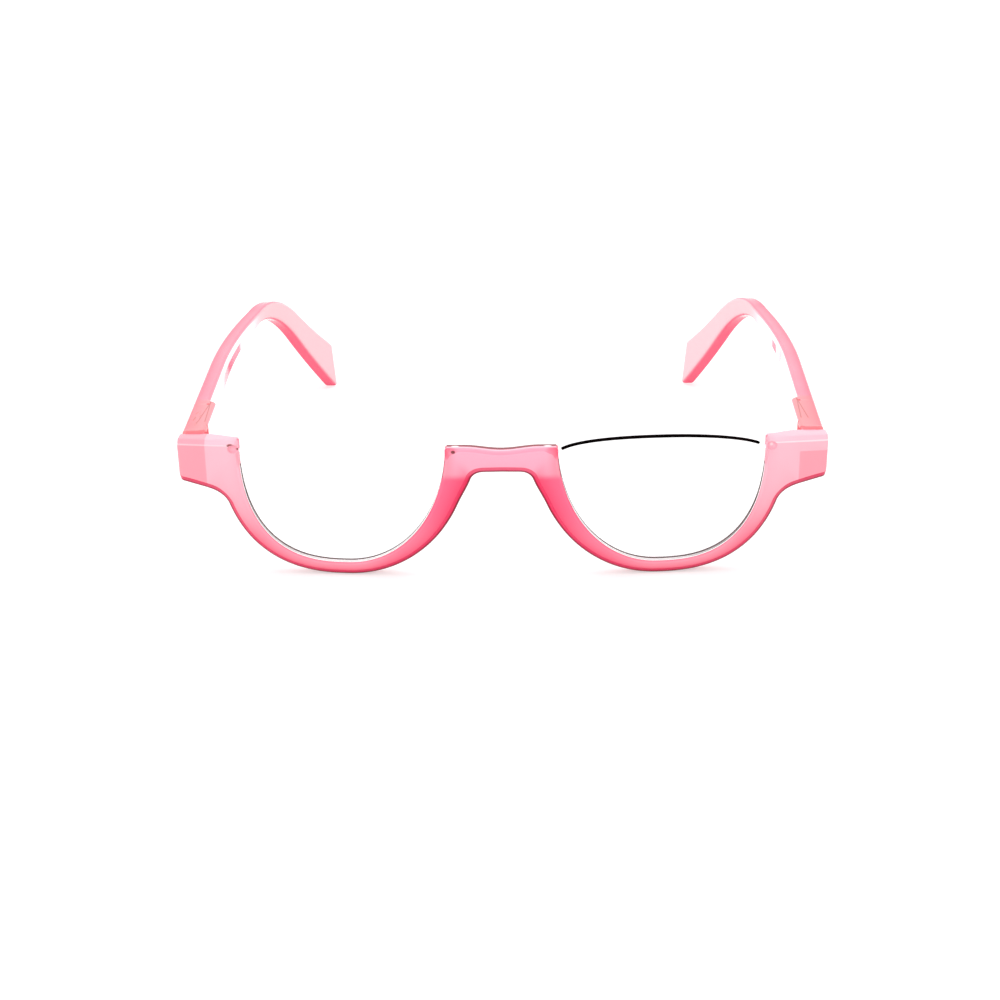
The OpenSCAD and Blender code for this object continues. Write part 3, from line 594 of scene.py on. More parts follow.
def temple_cuts(side):
    """What is cut out of the temple: its square front, a heel that lets it open past rest, the slot for the
    knuckles under a thin roof with a round front, the mouth of the spring box and the pin's hole."""
    y0 = END_BACK + TEMPLE_GAP
    slot_x, slot_y = HINGE_X + KNUCKLE_R + SLOT_SIDE, HINGE_Y + KNUCKLE_R + SLOT_BACK
    heel = [(slot_x + HEEL_IN, y0), (slot_x + HEEL_IN, y0 - HEEL_OUT), (TEMPLE_X + HEEL_OUT, y0 - HEEL_OUT),
            (TEMPLE_X + HEEL_OUT, y0 + HEEL_END), (TEMPLE_X + HEEL_EDGE, y0 + HEEL_START)]
    roof_z = HINGE_Z + KNUCKLE_H / 2 + ROOF_GAP
    a = np.linspace(math.pi - math.acos(ROOF_W / ROOF_R), math.pi * 1.5, 28)
    roof_front = np.concatenate([
        [(slot_x, y0 - 6), (HINGE_X - 9, y0 - 6), (HINGE_X - 9, slot_y), (HINGE_X - ROOF_W, slot_y)],
        np.stack([HINGE_X + ROOF_R * np.cos(a), HINGE_Y + ROOF_R * np.sin(a)], -1),
        [(slot_x, HINGE_Y - ROOF_R)]])
    half_w, half_h = BOX_W / 2 + FIT_GAP, BOX_H / 2 + FIT_GAP
    mouth = oblong(BOX_X - half_w, BOX_X + half_w, slot_y - 1, BOX_Y0 + 0.03)
    pin_y = BOX_Y0 + BOX_LEN - PIN_END
    pin_hole = circle(BOX_X - PIN_IN, pin_y, PIN_R, 24)
    pin_floor = TEMPLE_TOP + (pin_y - y0) * math.tan(RISE) - PIN_DEPTH
    shapes = ((oblong(HINGE_X - 9, TEMPLE_X + 9, y0 - 6, y0), 0, 60), (heel, 0, 60),
              (oblong(HINGE_X - 9, slot_x, y0 - 6, slot_y), 0, roof_z), (roof_front, roof_z - 0.01, 60),
              (mouth, HINGE_Z - half_h, HINGE_Z + half_h), (pin_hole, pin_floor, 60))
    return [prism("cut", outline, z0, z1, side) for outline, z0, z1 in shapes]


def temple_piece(side, name, material):
    rings = temple_sections()
    piece = sweep(name, rings, side)
    # Dye and painted shade at the four rounded corners: deepest on the outer side, lightest on the inner top
    corner = np.ones(rings.shape[1] // 4)
    fade = np.linspace(0, 1, len(corner))
    dye_and_shade = np.concatenate([lerp(1.0, 0.6, fade), 0.2 * corner, 0.5 * corner, lerp(0.8, 1.0, fade)])
    set_dye_and_shade(piece, np.tile(dye_and_shade, len(rings)))
    piece.data.materials.append(material)
    outwards(piece)
    carve(piece, temple_cuts(side), "DIFFERENCE")
    finish_mesh(piece)
    return piece


def spring_piece(word, material):
    """The hinge's coil at rest, taken from its solid."""
    piece = bpy.data.objects.new("coil_spring_" + word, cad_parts["hinge_spring_" + word].data.copy())
    bpy.context.scene.collection.objects.link(piece)
    piece.data.materials.clear()
    piece.data.materials.append(material)
    finish_mesh(piece, 60)
    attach(piece, "tongue_" + word)
    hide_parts("hinge_spring_" + word)
    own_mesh(piece)


def lens_outline(n_low=150, n_top=90):
    """Edge of a lens: the rim curve grown into the groove, closed by a flat superellipse cap."""
    grow = GROOVE - LENS_GAP
    a0 = angle_at_drop(END_TOP - LENS_CORNER, LENS_DROP + grow, Q_IN_OUT)
    a1 = math.pi - angle_at_drop(END_TOP - LENS_CORNER, LENS_DROP + grow, Q_IN_NOSE)
    low = lens_opening(np.linspace(a0, a1, n_low), grow)
    a = np.radians(180 - np.linspace(0, 180, n_top + 2)[1:-1])
    q = np.where(a > math.pi / 2, CAP_Q_NOSE, CAP_Q_OUT)
    mid, half = (low[0, 0] + low[-1, 0]) / 2, (low[0, 0] - low[-1, 0]) / 2
    cap = np.stack([mid + half * np.sign(np.cos(a)) * np.abs(np.cos(a)) ** (2 / q),
                    LENS_CORNER + (LENS_TOP - LENS_CORNER) * np.sin(a) ** (2 / q)], -1)
    return np.concatenate([low, cap]), n_low


def lens_slots(side, count, rim_row, m, n_low):
    """Material of each face: 2, a painted highlight, on the upper edge, 1, a painted dark reflection, along
    most of it on the wearer's left, 0 elsewhere.
    """
    slot = np.zeros(count, int)
    top = np.arange((rim_row - 2) * m, (rim_row + 3) * m)
    slot[top[top % m >= n_low - 6]] = 2
    if side > 0:
        slot[top[(top % m > n_low + 8) & (top % m < m - 12)]] = 1
    return slot


def lens_piece(side, name, materials):
    """Rings shrink from the outline to the middle on both faces, each point at the depth of its sphere. The
    edge between the two faces has a fine bevel."""
    outline, n_low = lens_outline()
    centre = np.array([LENS_X, MID_Z])
    away = (outline - centre) / np.linalg.norm(outline - centre, axis=1, keepdims=True)
    shares = 1 - np.linspace(0, 1, 26) ** 1.4

    def face_ring(ball_centre, radius, share):
        p = centre + (outline - away * LENS_BEVEL - centre) * share
        return np.column_stack([p[:, 0], lens_face(ball_centre, radius, *p.T), p[:, 1]])

    front_edge = lens_face(BALL_1, LENS_R1, *outline.T) + LENS_BEVEL
    back_edge = lens_face(BALL_2, LENS_R2, *outline.T) - LENS_BEVEL
    rings = [face_ring(BALL_1, LENS_R1, share) for share in shares[::-1][1:]]
    rings += [np.column_stack([outline[:, 0], y, outline[:, 1]]) for y in (front_edge, back_edge)]
    rings += [face_ring(BALL_2, LENS_R2, share) for share in shares[:-1]]
    n, m = len(rings), len(outline)
    poles = [(centre[0], float(lens_face(ball_centre, radius, *centre)), centre[1])
             for ball_centre, radius in ((BALL_1, LENS_R1), (BALL_2, LENS_R2))]
    faces = tube_faces(n, m)[:-2]
    for k in range(m):
        faces.append([n * m, (k + 1) % m, k])
        faces.append([n * m + 1, (n - 1) * m + k, (n - 1) * m + (k + 1) % m])
    piece = make_mesh(name, np.concatenate([*rings, poles]), faces, side)
    for mat in materials:
        piece.data.materials.append(mat)
    slots = lens_slots(side, len(piece.data.polygons), len(shares) - 1, m, n_low)
    piece.data.polygons.foreach_set("material_index", slots)
    outwards(piece)
    finish_mesh(piece, 30)
    return piece


# Material helpers
def new_material(name):
    mat = bpy.data.materials.new(name)
    mat.use_nodes = True
    tree = mat.node_tree
    tree.nodes.clear()
    out = tree.nodes.new("ShaderNodeOutputMaterial")
    shader = tree.nodes.new("ShaderNodeBsdfPrincipled")
    tree.links.new(shader.outputs["BSDF"], out.inputs["Surface"])
    return mat, tree, shader


def pattern(tree, scale, detail=2.0, low=0.0, high=1.0, stretch=(1, 1, 1)):
    """Noise on the piece's own coordinates, spread to the values low to high."""
    coord = tree.nodes.new("ShaderNodeTexCoord")
    place = tree.nodes.new("ShaderNodeMapping")
    place.inputs["Scale"].default_value = stretch
    noise = tree.nodes.new("ShaderNodeTexNoise")
    noise.inputs["Scale"].default_value = scale
    noise.inputs["Detail"].default_value = detail
    spread = tree.nodes.new("ShaderNodeMapRange")
    for name, v in (("From Min", 0.3), ("From Max", 0.7), ("To Min", low), ("To Max", high)):
        spread.inputs[name].default_value = v
    tree.links.new(coord.outputs["Object"], place.inputs["Vector"])
    tree.links.new(place.outputs["Vector"], noise.inputs["Vector"])
    tree.links.new(noise.outputs["Fac"], spread.inputs["Value"])
    return spread.outputs["Result"]


def ramp(tree, value, low, high, bottom=0.0, top=1.0):
    """Eases a value from bottom to top while it goes from low to high."""
    node = tree.nodes.new("ShaderNodeMapRange")
    node.interpolation_type = "SMOOTHSTEP"
    for name, v in (("From Min", low), ("From Max", high), ("To Min", bottom), ("To Max", top)):
        node.inputs[name].default_value = v
    tree.links.new(value, node.inputs["Value"])
    return node.outputs["Result"]


def mix_colours(tree, factor, a, b):
    """Mixes two colours, each a plain colour or an output."""
    mix = tree.nodes.new("ShaderNodeMix")
    mix.data_type = "RGBA"
    for name, v in (("A", a), ("B", b)):
        if isinstance(v, tuple):
            mix.inputs[name].default_value = (*v, 1)
        else:
            tree.links.new(v, mix.inputs[name])
    tree.links.new(factor, mix.inputs["Factor"])
    return mix.outputs["Result"]


def arithmetic(tree, how, a, b=0.0):
    """One step of arithmetic between two values, each a number or an output."""
    node = tree.nodes.new("ShaderNodeMath")
    node.operation = how
    for k, v in enumerate((a, b)):
        if isinstance(v, (int, float)):
            node.inputs[k].default_value = v
        else:
            tree.links.new(v, node.inputs[k])
    return node.outputs[0]


def plus(tree, a, b):
    return arithmetic(tree, "ADD", a, b)


def minus(tree, a, b):
    return arithmetic(tree, "SUBTRACT", a, b)


def times(tree, *values):
    """Product of several values."""
    result = values[0]
    for v in values[1:]:
        result = arithmetic(tree, "MULTIPLY", result, v)
    return result


def band(tree, value, rise, fall, top=1.0):
    """Up to the top over the first pair of values and down to 0 over the second."""
    return times(tree, ramp(tree, value, *rise, 0, top), ramp(tree, value, *fall, 1, 0))


def spot(tree, place, centre, size):
    """1 inside an ellipsoid about the centre, easing to 0 at its surface."""
    total = 0.0
    for value, c, r in zip(place, centre, size):
        gap = times(tree, minus(tree, value, c), 1 / r)
        total = plus(tree, total, times(tree, gap, gap))
    return ramp(tree, total, 0.2, 1.0, 1, 0)


def axis_parts(tree, output):
    """The x, y and z of one of the piece's own coordinates."""
    coord = tree.nodes.new("ShaderNodeTexCoord")
    parts = tree.nodes.new("ShaderNodeSeparateXYZ")
    tree.links.new(coord.outputs[output], parts.inputs[0])
    return parts.outputs


def slant(tree):
    """0 where a surface is seen square on, 1 where it is seen along itself."""
    facing = tree.nodes.new("ShaderNodeLayerWeight")
    facing.inputs["Blend"].default_value = 0.5
    return facing.outputs["Facing"]


def dye_and_shade_depth(tree):
    """The dye and painted shade stored on the points, squared."""
    node = tree.nodes.new("ShaderNodeAttribute")
    node.attribute_name = "dye_and_shade"
    return times(tree, node.outputs["Fac"], node.outputs["Fac"])


def bow_depth(tree, x, y):
    """How far a point lies behind the bowed front face: y less x squared over twice the wrap radius."""
    per_metre = 1000 / (2 * WRAP_R)
    return minus(tree, minus(tree, y, times(tree, x, x, per_metre)), BACK_SHIFT / 1000)


def left_side(tree, x, right=0.0, left=1.0):
    """One value on the wearer's right and another on the left."""
    return ramp(tree, x, -0.01, 0.01, right, left)


def clear_plastic(tree, shader, colour, light, clear, glare=None):
    """Finish shared by the pink mouldings. A share of the light passes through and the dye throws back the
    rest.
    The colour also glows by the given strength, a painted glow that stands in for the room's light carried
    inside the plastic. The skin is polished, and slanting views turn to a bright glare where one is asked
    for."""
    link = tree.links.new
    out = tree.nodes["Material Output"]
    link(colour, shader.inputs["Base Color"])
    # Painted glow: the colour is also emitted
    link(colour, shader.inputs["Emission Color"])
    link(light, shader.inputs["Emission Strength"])
    link(clear, shader.inputs["Transmission Weight"])
    shader.inputs["IOR"].default_value = 1.49
    link(pattern(tree, 260, 2, 0.1, 0.16), shader.inputs["Roughness"])
    link(minus(tree, 0.5, times(tree, dye_and_shade_depth(tree), 0.4)), shader.inputs["Specular IOR Level"])
    if glare:
        shine = tree.nodes.new("ShaderNodeBsdfGlossy")
        shine.inputs["Roughness"].default_value = 0.08
        mix = tree.nodes.new("ShaderNodeMixShader")
        link(ramp(tree, slant(tree), *glare), mix.inputs[0])
        link(shader.outputs["BSDF"], mix.inputs[1])
        link(shine.outputs[0], mix.inputs[2])
        link(mix.outputs[0], out.inputs["Surface"])
    soak = tree.nodes.new("ShaderNodeVolumeAbsorption")
    soak.inputs["Color"].default_value = (1.0, 0.42, 0.55, 1)
    soak.inputs["Density"].default_value = 90
    link(soak.outputs["Volume"], out.inputs["Volume"])


# Materials
FACE_PINK, LEG_PINK, BRIDGE_PINK = (1.0, 0.29, 0.39), (1.0, 0.135, 0.265), (1.0, 0.46, 0.6)
END_PINK, BLOCK_PINK, CLOUD_PINK = (0.98, 0.55, 0.64), (0.98, 0.38, 0.46), (1.0, 0.5, 0.6)
DEEP_PINK, HIGHLIGHT_LINE_PINK = (0.84, 0.015, 0.1), (1.0, 0.88, 0.91)
TOP_HIGHLIGHT_PINK, OUTLINE_RED = (1.0, 0.62, 0.72), (0.2, 0.005, 0.02)
# Places on the front where one stretch begins to give way to the next and where it is over, in metres:
# outwards from the middle, then upwards, then back from the front face
END_STRETCH, BLOCK_STRETCH = (0.05, 0.058), (0.0619, 0.0622)
LEG_STRETCH, BRIDGE_STRETCH = (0.02, 0.032), (0.009, 0.012)
TOP_STRETCH, LINE_STRETCH, UNDER_STRETCH = (0.0118, 0.0124), (0.0555, 0.057), (0.012, 0.02)
LEDGE_HEIGHT, LEG_FOOT, LEG_HEAD = (0.0263, 0.0266), (0.006, 0.016), (0.0215, 0.0233)
LINE_LOW, LINE_HIGH = (0.0284, 0.02855), (0.0287, 0.02885)
STRIPE_FRONT, STRIPE_BACK, REAR_LINE = (0.001, 0.0012), (0.0014, 0.0016), (0.0017, 0.0019)
# The height of a surface's normal: from facing down to level, and from slanting to facing up
DOWN_TO_LEVEL, SLANT_TO_UP = (-0.5, -0.1), (0.6, 0.85)
GLINT = (0.0096, 0.0019, 0.0286), (0.001, 0.0005, 0.002)
# Small painted marks on the front, three of painted shade and one painted highlight: centre (x, depth, z),
# size and colour
FRONT_SHADE_AND_GLINTS = (((-0.01, 0.0003, 0.0279), (0.0006, 0.001, 0.0004), (0.12, 0.004, 0.01)),
               ((-0.0566, 0, 0.0287), (0.0009, 0.0016, 0.0004), (0.22, 0.05, 0.04)),
               ((-0.0549, 0, 0.0278), (0.0011, 0.0016, 0.0004), (0.25, 0.06, 0.05)),
               ((0.0561, 0, 0.028), (0.0006, 0.002, 0.0006), (1, 0.9, 0.92)))


def front_plastic():
    """The dye's depth along the front, partly painted shade: deep at the lower edges and in the legs, pale in
    the end pieces and the bridge, with painted highlights and painted shade at the moulding's corners and a
    painted glow."""
    mat, tree, shader = new_material("clear_pink_front")
    x, y, z = axis_parts(tree, "Object")
    side = arithmetic(tree, "ABSOLUTE", x)
    nz = axis_parts(tree, "Normal")[2]
    depth = bow_depth(tree, x, y)
    # Main stretches: rims, end pieces with their deeper outer block, bridge, legs
    colour = mix_colours(tree, ramp(tree, side, *END_STRETCH), FACE_PINK, END_PINK)
    ledge = times(tree, left_side(tree, x), ramp(tree, z, *LEDGE_HEIGHT))
    block = times(tree, ramp(tree, side, *BLOCK_STRETCH), minus(tree, 1.0, ledge))
    colour = mix_colours(tree, block, colour, BLOCK_PINK)
    colour = mix_colours(tree, ramp(tree, side, *BRIDGE_STRETCH, 1, 0), colour, BRIDGE_PINK)
    colour = mix_colours(tree, pattern(tree, 60, 2, 0, 0.2), colour, CLOUD_PINK)
    legs = times(tree, ramp(tree, side, *LEG_STRETCH, 1, 0), ramp(tree, z, *LEG_HEAD, 1, 0),
                 ramp(tree, z, *LEG_FOOT, 0.55, 1))
    colour = mix_colours(tree, legs, colour, LEG_PINK)
    # Deep pink where the stored dye and painted shade are deep, towards the lower edges
    colour = mix_colours(tree, dye_and_shade_depth(tree), colour, DEEP_PINK)
    # Top of the bridge: a painted highlight stripe, a painted shade line at its rear seen slantwise, painted
    # glints
    top = times(tree, ramp(tree, nz, *SLANT_TO_UP), ramp(tree, side, *TOP_STRETCH, 1, 0))
    highlight_stripe = times(tree, top, band(tree, depth, STRIPE_FRONT, STRIPE_BACK))
    colour = mix_colours(tree, highlight_stripe, colour, TOP_HIGHLIGHT_PINK)
    rear_shade_line = times(tree, top, ramp(tree, depth, *REAR_LINE), ramp(tree, slant(tree), 0.35, 0.58))
    colour = mix_colours(tree, rear_shade_line, colour, OUTLINE_RED)
    colour = mix_colours(tree, spot(tree, (side, depth, z), *GLINT), colour, (1, 1, 1))
    # Painted highlight line under the top edge of the end pieces, stronger on the wearer's left
    line = times(tree, ramp(tree, side, *LINE_STRETCH), band(tree, z, LINE_LOW, LINE_HIGH),
                 left_side(tree, x, 0.35, 0.75))
    colour = mix_colours(tree, line, colour, HIGHLIGHT_LINE_PINK)
    # Painted shade spots, and a painted highlight in the dimple
    for centre, size, tone in FRONT_SHADE_AND_GLINTS:
        colour = mix_colours(tree, spot(tree, (x, depth, z), centre, size), colour, tone)
    # Painted glow: weaker on faces turned down, as painted shade, and stronger under the middle of the bridge
    glow_under_bridge = times(tree, ramp(tree, side, *UNDER_STRETCH, 0.12, 0),
                         ramp(tree, nz, *DOWN_TO_LEVEL, 1, 0))
    light = plus(tree, ramp(tree, nz, *DOWN_TO_LEVEL, 0.07, 0.17), glow_under_bridge)
    clear_plastic(tree, shader, colour, light, ramp(tree, nz, -0.5, -0.15, 0.05, 0.2))
    return mat


TEMPLE_PINK, BOX_PINK, TEMPLE_DEEP = (1.0, 0.27, 0.37), (0.94, 0.3, 0.32), (0.86, 0.04, 0.12)
INNER_PINK, TAIL_PINK, INNER_REFLECTION_WHITE = (1.0, 0.4, 0.5), (1.0, 0.55, 0.6), (1.0, 0.93, 0.93)
REFLECTED_PATCH_PINK, UNDER_SHADE_PINK = (0.96, 0.14, 0.27), (1.0, 0.14, 0.25)
SEAM_BROWN, STREAK_BROWN = (0.3, 0.07, 0.06), (0.35, 0.12, 0.09)
# Places along the temples, in metres: the front of the inner face, the start of its painted reflection patch
# on each side and the patch's end, the bend, and the spring box with its seams and streaks
INNER_FROM, PATCH_LEFT = (-0.0562, -0.0558), (-0.001, 0.002)
PATCH_RIGHT, PATCH_END = (-0.021, -0.015), (0.004, 0.008)
BEND_RUN, BOX_END, ROOF_FROM, ROOF_TO = (0.012, 0.03), (-0.042, -0.04), (-0.0555, -0.0545), (-0.0425, -0.042)
STREAK_FROM, STREAK_TO, STREAK_SIDE = (-0.0585, -0.057), (-0.05, -0.047), (0.0648, 0.0652)
SEAM_LEAN, SEAM_X, SEAM_Y = 0.06, 0.0643, 0.0425


def temple_plastic():
    """Pink, deepest along the outer edges and underneath, partly dye and partly painted shade. Seen along its
    run, the flat inner face is painted white with a glow as a painted reflection of the white room, with a
    painted pink reflection patch in its middle, and the rest of the inner face is painted paler. Fine seams
    lie over the spring box."""
    mat, tree, shader = new_material("clear_pink_temple")
    x, y, z = axis_parts(tree, "Object")
    nx, _, nz = axis_parts(tree, "Normal")
    side = arithmetic(tree, "ABSOLUTE", x)
    left = left_side(tree, x)
    inwards = times(tree, arithmetic(tree, "SIGN", x), nx)
    inner = times(tree, ramp(tree, inwards, -0.9, -0.6, 1, 0), ramp(tree, y, *INNER_FROM))
    # Straight run of the inner face, seen along itself, where it is painted white as a painted reflection
    flat = times(tree, ramp(tree, slant(tree), 0.55, 0.75), ramp(tree, y, *BEND_RUN, 1, 0),
                 ramp(tree, inwards, -0.95, -0.85, 1, 0))
    pale = mix_colours(tree, ramp(tree, y, *BEND_RUN), INNER_PINK, TAIL_PINK)
    pale = mix_colours(tree, flat, pale, INNER_REFLECTION_WHITE)
    low = ramp(tree, minus(tree, z, times(tree, y, 0.05)), 0.0293, 0.0299, 1, 0)
    start = plus(tree, times(tree, left, ramp(tree, y, *PATCH_LEFT)),
                 times(tree, minus(tree, 1.0, left), ramp(tree, y, *PATCH_RIGHT)))
    reflected_patch = times(tree, flat, low, start, ramp(tree, y, *PATCH_END, 1, 0))
    colour = mix_colours(tree, ramp(tree, y, *BOX_END, 1, 0), TEMPLE_PINK, BOX_PINK)
    colour = mix_colours(tree, pattern(tree, 60, 2, 0, 0.2), colour, CLOUD_PINK)
    # Deeper pink where the stored dye and painted shade are deep, more so where seen slantwise
    deep = times(tree, dye_and_shade_depth(tree), ramp(tree, slant(tree), 0.35, 0.75, 0.35, 1))
    colour = mix_colours(tree, deep, colour, TEMPLE_DEEP)
    # Painted light: the inner face turns paler, and its patch is a painted pink reflection
    colour = mix_colours(tree, inner, colour, pale)
    colour = mix_colours(tree, times(tree, inner, reflected_patch), colour, REFLECTED_PATCH_PINK)
    # Painted shade: surfaces facing down turn a deeper pink
    colour = mix_colours(tree, ramp(tree, nz, -0.6, -0.25, 1, 0), colour, UNDER_SHADE_PINK)
    # Two seams that close to a point on the top of the spring box, and streaks on the right one
    top = ramp(tree, nz, 0.7, 0.9)
    roof = times(tree, top, band(tree, y, ROOF_FROM, ROOF_TO))
    for lean in (SEAM_LEAN, -SEAM_LEAN):
        seam = minus(tree, minus(tree, side, SEAM_X), times(tree, plus(tree, y, SEAM_Y), lean))
        seam = ramp(tree, arithmetic(tree, "ABSOLUTE", seam), 0.00006, 0.00024, 0.5, 0)
        colour = mix_colours(tree, times(tree, roof, seam), colour, SEAM_BROWN)
    grain = pattern(tree, 1500, 2, 0, 1, (1, 0.2, 1))
    streaks = times(tree, top, band(tree, y, STREAK_FROM, STREAK_TO), left_side(tree, x, 1, 0),
                    ramp(tree, side, *STREAK_SIDE), ramp(tree, grain, 0.5, 0.9, 0, 0.5))
    colour = mix_colours(tree, streaks, colour, STREAK_BROWN)
    # Painted glow on the white inner face, over a faint glow of the colour everywhere
    light = plus(tree, times(tree, inner, flat, minus(tree, 1.0, reflected_patch), 0.45), 0.16)
    clear = minus(tree, 0.2, times(tree, inner, 0.12))
    clear_plastic(tree, shader, colour, light, clear, (0.8, 0.92, 0, 0.8))
    return mat


LIP_LINE, LIP_RED = (1.11, 0.97), (0.07, 0.01, 0.012)


def lip_plastic():
    """Polished wall of the lens opening, painted near white with a painted glow as a painted reflection of
    the white room. It ends in a fine painted shade line at its rear, where the plastic is seen end on. The
    line is a little wider on the wearer's left."""
    mat, tree, shader = new_material("polished_lip_painted_white")
    x, y, _ = axis_parts(tree, "Object")
    far = plus(tree, bow_depth(tree, x, y), left_side(tree, x, 0, 0.00003))
    line = ramp(tree, far, (RIM_T - LIP_LINE[0]) / 1000, (RIM_T - LIP_LINE[1]) / 1000)
    plain = minus(tree, 1.0, line)
    white = mix_colours(tree, pattern(tree, 120), (1.0, 0.93, 0.94), (1.0, 0.98, 0.98))
    tree.links.new(mix_colours(tree, line, white, LIP_RED), shader.inputs["Base Color"])
    tree.links.new(pattern(tree, 300, 2, 0.05, 0.15), shader.inputs["Roughness"])
    tree.links.new(times(tree, plain, 0.5), shader.inputs["Specular IOR Level"])
    # Painted glow on the white wall, off on the dark line
    shader.inputs["Emission Color"].default_value = (1, 0.97, 0.97, 1)
    tree.links.new(times(tree, plain, 0.35), shader.inputs["Emission Strength"])
    return mat


def plain_plastic(name, colours, rough, scale=120, grain=500, specular=0.5):
    """Clouded colour between two tones, with an uneven skin."""
    mat, tree, shader = new_material(name)
    tree.links.new(mix_colours(tree, pattern(tree, scale), *colours), shader.inputs["Base Color"])
    tree.links.new(pattern(tree, grain, 2, *rough), shader.inputs["Roughness"])
    shader.inputs["Specular IOR Level"].default_value = specular
    return mat, shader


def dark_edge():
    """Thin outer edge of the front, where the eye looks along the surface and meets the most dye; its dark
    crimson is partly that dye and partly painted shade.
    """
    colours = (0.24, 0.006, 0.025), (0.42, 0.015, 0.05)
    return plain_plastic("dark_edge", colours, (0.3, 0.5), 90, 300, 0.2)[0]


def clear_lens():
    colours = (0.985, 0.995, 0.99), (1.0, 1.0, 1.0)
    mat, shader = plain_plastic("clear_lens_plastic", colours, (0.0, 0.02), 30, 400)
    shader.inputs["IOR"].default_value = 1.5
    shader.inputs["Transmission Weight"].default_value = 1.0
    return mat


def dark_lens_edge():
    """Upper edge painted near black, a painted dark reflection."""
    colours = (0.001, 0.001, 0.001), (0.004, 0.002, 0.002)
    return plain_plastic("lens_edge_dark", colours, (0.25, 0.4), specular=0.0)[0]


def light_lens_edge():
    """Upper edge painted near white with a glow, a painted highlight."""
    mat, shader = plain_plastic("lens_edge_light", ((0.93, 0.95, 0.95), (0.98, 1.0, 1.0)), (0.25, 0.4))
    shader.inputs["Emission Color"].default_value = (1, 1, 1, 1)
    shader.inputs["Emission Strength"].default_value = 0.3
    return mat


def metal(name, light, dark, rough, grain):
    """Turned or drawn metal with fine marks along one direction."""
    mat, tree, shader = new_material(name)
    shader.inputs["Metallic"].default_value = 1.0
    tree.links.new(mix_colours(tree, pattern(tree, 300, 3), light, dark), shader.inputs["Base Color"])
    tree.links.new(pattern(tree, 900, 2, rough, rough + 0.18, grain), shader.inputs["Roughness"])
    bump = tree.nodes.new("ShaderNodeBump")
    bump.inputs["Strength"].default_value = 0.15
    bump.inputs["Distance"].default_value = 0.00003
    tree.links.new(pattern(tree, 1200, 2, 0, 1, grain), bump.inputs["Height"])
    tree.links.new(bump.outputs["Normal"], shader.inputs["Normal"])
    return mat


# Stage
FLOOR_GLOW, FLOOR_GREY, FLOOR_HALF, WORLD_LIGHT = 0.5, 0.62, 4.0, 0.92
SENSOR, FOCAL = 36.0, 36.0 * 1.776
CAMERA_PLACE = (6.371, -344.299, 153.466)
CAMERA_PITCH, CAMERA_YAW, CAMERA_ROLL = math.radians(21.562), math.radians(-1.126), math.radians(-0.771)


def seen(tree):
    """1 for what the camera sees straight, in a mirror or through a clear piece."""
    path = tree.nodes.new("ShaderNodeLightPath")
    straight = arithmetic(tree, "MAXIMUM", path.outputs["Is Camera Ray"], path.outputs["Is Glossy Ray"])
    return arithmetic(tree, "MAXIMUM", straight, path.outputs["Is Transmission Ray"])


def white_floor():
    """Diffuse white that also glows for the camera, for mirrors and through clear plastic."""
    mat, tree, shader = new_material("white_sweep")
    shader.inputs["Base Color"].default_value = (FLOOR_GREY, FLOOR_GREY, FLOOR_GREY, 1)
    shader.inputs["Roughness"].default_value = 1.0
    shader.inputs["Specular IOR Level"].default_value = 0.0
    shader.inputs["Emission Color"].default_value = (1, 1, 1, 1)
    tree.links.new(times(tree, seen(tree), FLOOR_GLOW), shader.inputs["Emission Strength"])
    return mat


def floor_piece():
    mesh = bpy.data.meshes.new("floor")
    square = oblong(-FLOOR_HALF, FLOOR_HALF, -FLOOR_HALF, FLOOR_HALF)
    mesh.from_pydata([(x, y, cad_box[0].z) for x, y in square], [], [(0, 1, 2, 3)])
    floor = bpy.data.objects.new("floor", mesh)
    bpy.context.scene.collection.objects.link(floor)
    mesh.materials.append(white_floor())


def white_world():
    """White surroundings: plain light on the object, full white where the camera or a clear piece sees it."""
    world = bpy.data.worlds.new("studio")
    bpy.context.scene.world = world
    world.use_nodes = True
    tree = world.node_tree
    tree.nodes.clear()
    out = tree.nodes.new("ShaderNodeOutputWorld")
    mix = tree.nodes.new("ShaderNodeMixShader")
    tree.links.new(seen(tree), mix.inputs[0])
    for k, strength in ((1, WORLD_LIGHT), (2, 1.0)):
        white = tree.nodes.new("ShaderNodeBackground")
        white.inputs["Color"].default_value = (1, 1, 1, 1)
        white.inputs["Strength"].default_value = strength
        tree.links.new(white.outputs[0], mix.inputs[k])
    tree.links.new(mix.outputs[0], out.inputs["Surface"])


def soft_lamp(name, place, aim, size, power):
    lamp = bpy.data.lights.new(name, "AREA")
    lamp.shape, lamp.size, lamp.size_y, lamp.energy = "RECTANGLE", size[0], size[1], power
    obj = bpy.data.objects.new(name, lamp)
    bpy.context.scene.collection.objects.link(obj)
    obj.location = place
    obj.rotation_euler = (Vector(aim) - Vector(place)).to_track_quat("-Z", "Y").to_euler()


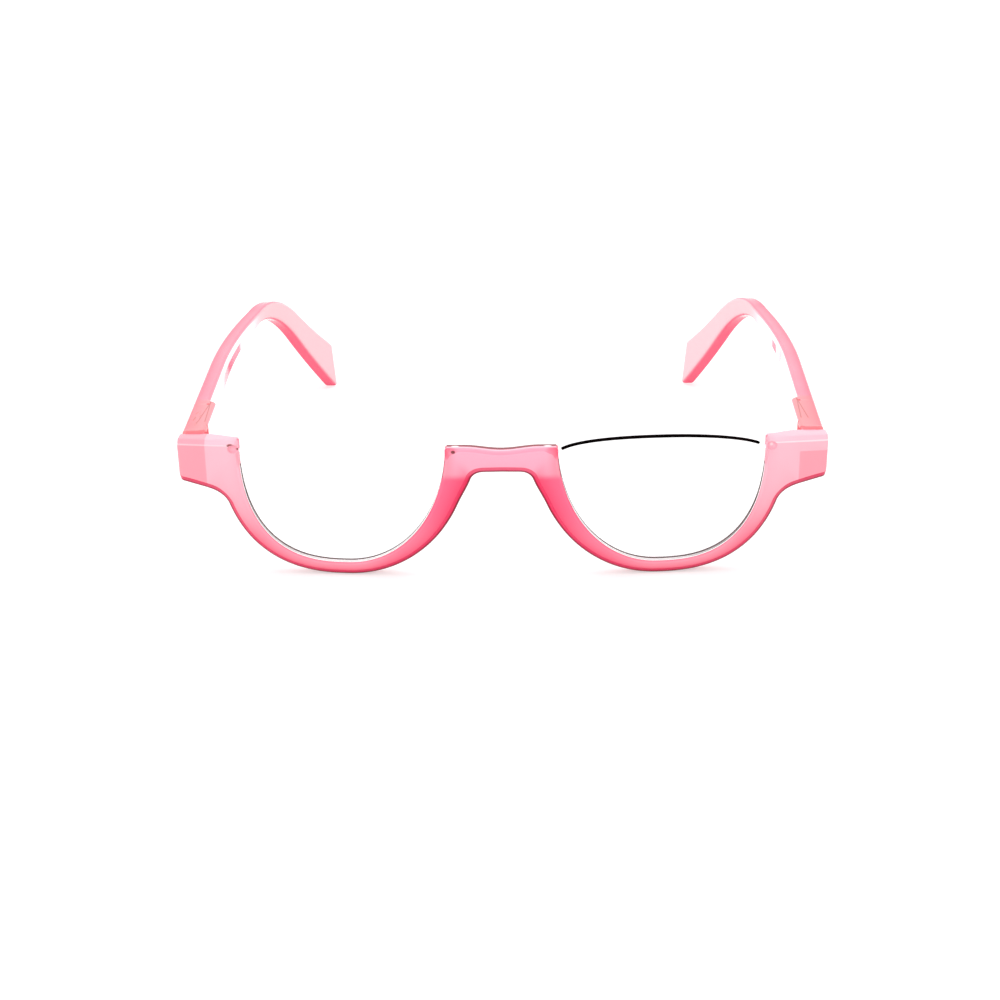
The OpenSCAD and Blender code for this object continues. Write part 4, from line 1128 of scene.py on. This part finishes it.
def camera_piece():
    """The photograph's camera: 64 mm lens, 0.34 m in front of the bridge and 0.153 m up, 22 degrees down."""
    sin_yaw, cos_yaw = math.sin(CAMERA_YAW), math.cos(CAMERA_YAW)
    level = math.cos(CAMERA_PITCH)
    forward = Vector((sin_yaw * level, cos_yaw * level, -math.sin(CAMERA_PITCH)))
    right = Vector((cos_yaw, -sin_yaw, 0))
    up = right.cross(forward)
    turn = Matrix((right, up, -forward)).transposed().to_4x4() @ Matrix.Rotation(CAMERA_ROLL, 4, "Z")
    data = bpy.data.cameras.new("camera")
    data.sensor_width, data.lens = SENSOR, FOCAL
    data.clip_start, data.clip_end = 0.01, 20
    cam = bpy.data.objects.new("camera", data)
    bpy.context.scene.collection.objects.link(cam)
    cam.matrix_world = Matrix.Translation(to_row(CAMERA_PLACE)[0]) @ turn
    bpy.context.scene.camera = cam


# Assembly
camera_piece()
floor_piece()
white_world()
soft_lamp("overhead_softbox", (0.0, 0.15, 0.9), (0, 0, 0), (1.2, 0.8), 3.0)
soft_lamp("front_softbox", (-0.5, -0.8, 0.5), (0, 0, 0.02), (0.5, 0.5), 1.5)
bpy.context.scene.view_settings.view_transform = "Standard"

temple_pink = temple_plastic()
front = front_piece([front_plastic(), lip_plastic(), dark_edge()])
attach(front, "front")
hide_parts("front_frame")

for side, word in ((1, "left"), (-1, "right")):
    temple = temple_piece(side, "moulded_temple_" + word, temple_pink)
    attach(temple, "temple_arm_" + word)
    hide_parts("temple_" + word)
    lens = lens_piece(side, "meniscus_lens_" + word, [clear_lens(), dark_lens_edge(), light_lens_edge()])
    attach(lens, "front")
    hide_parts("lens_" + word)

steel = metal("satin_steel", (0.62, 0.6, 0.56), (0.5, 0.48, 0.44), 0.22, (1, 8, 8))
wire = metal("spring_wire", (0.55, 0.55, 0.56), (0.42, 0.42, 0.44), 0.18, (8, 8, 1))
brass = metal("turned_brass", (0.78, 0.6, 0.3), (0.66, 0.5, 0.24), 0.2, (8, 1, 8))
for kinds, finish in ((("spring_box", "box_pin", "hinge_tongue", "hinge_screw"), steel),
                      (("guide_bush", "spring_stop"), brass)):
    for kind in kinds:
        for word in ("left", "right"):
            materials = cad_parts[kind + "_" + word].data.materials
            materials.clear()
            materials.append(finish)
for word in ("left", "right"):
    spring_piece(word, wire)

bpy.context.view_layer.update()
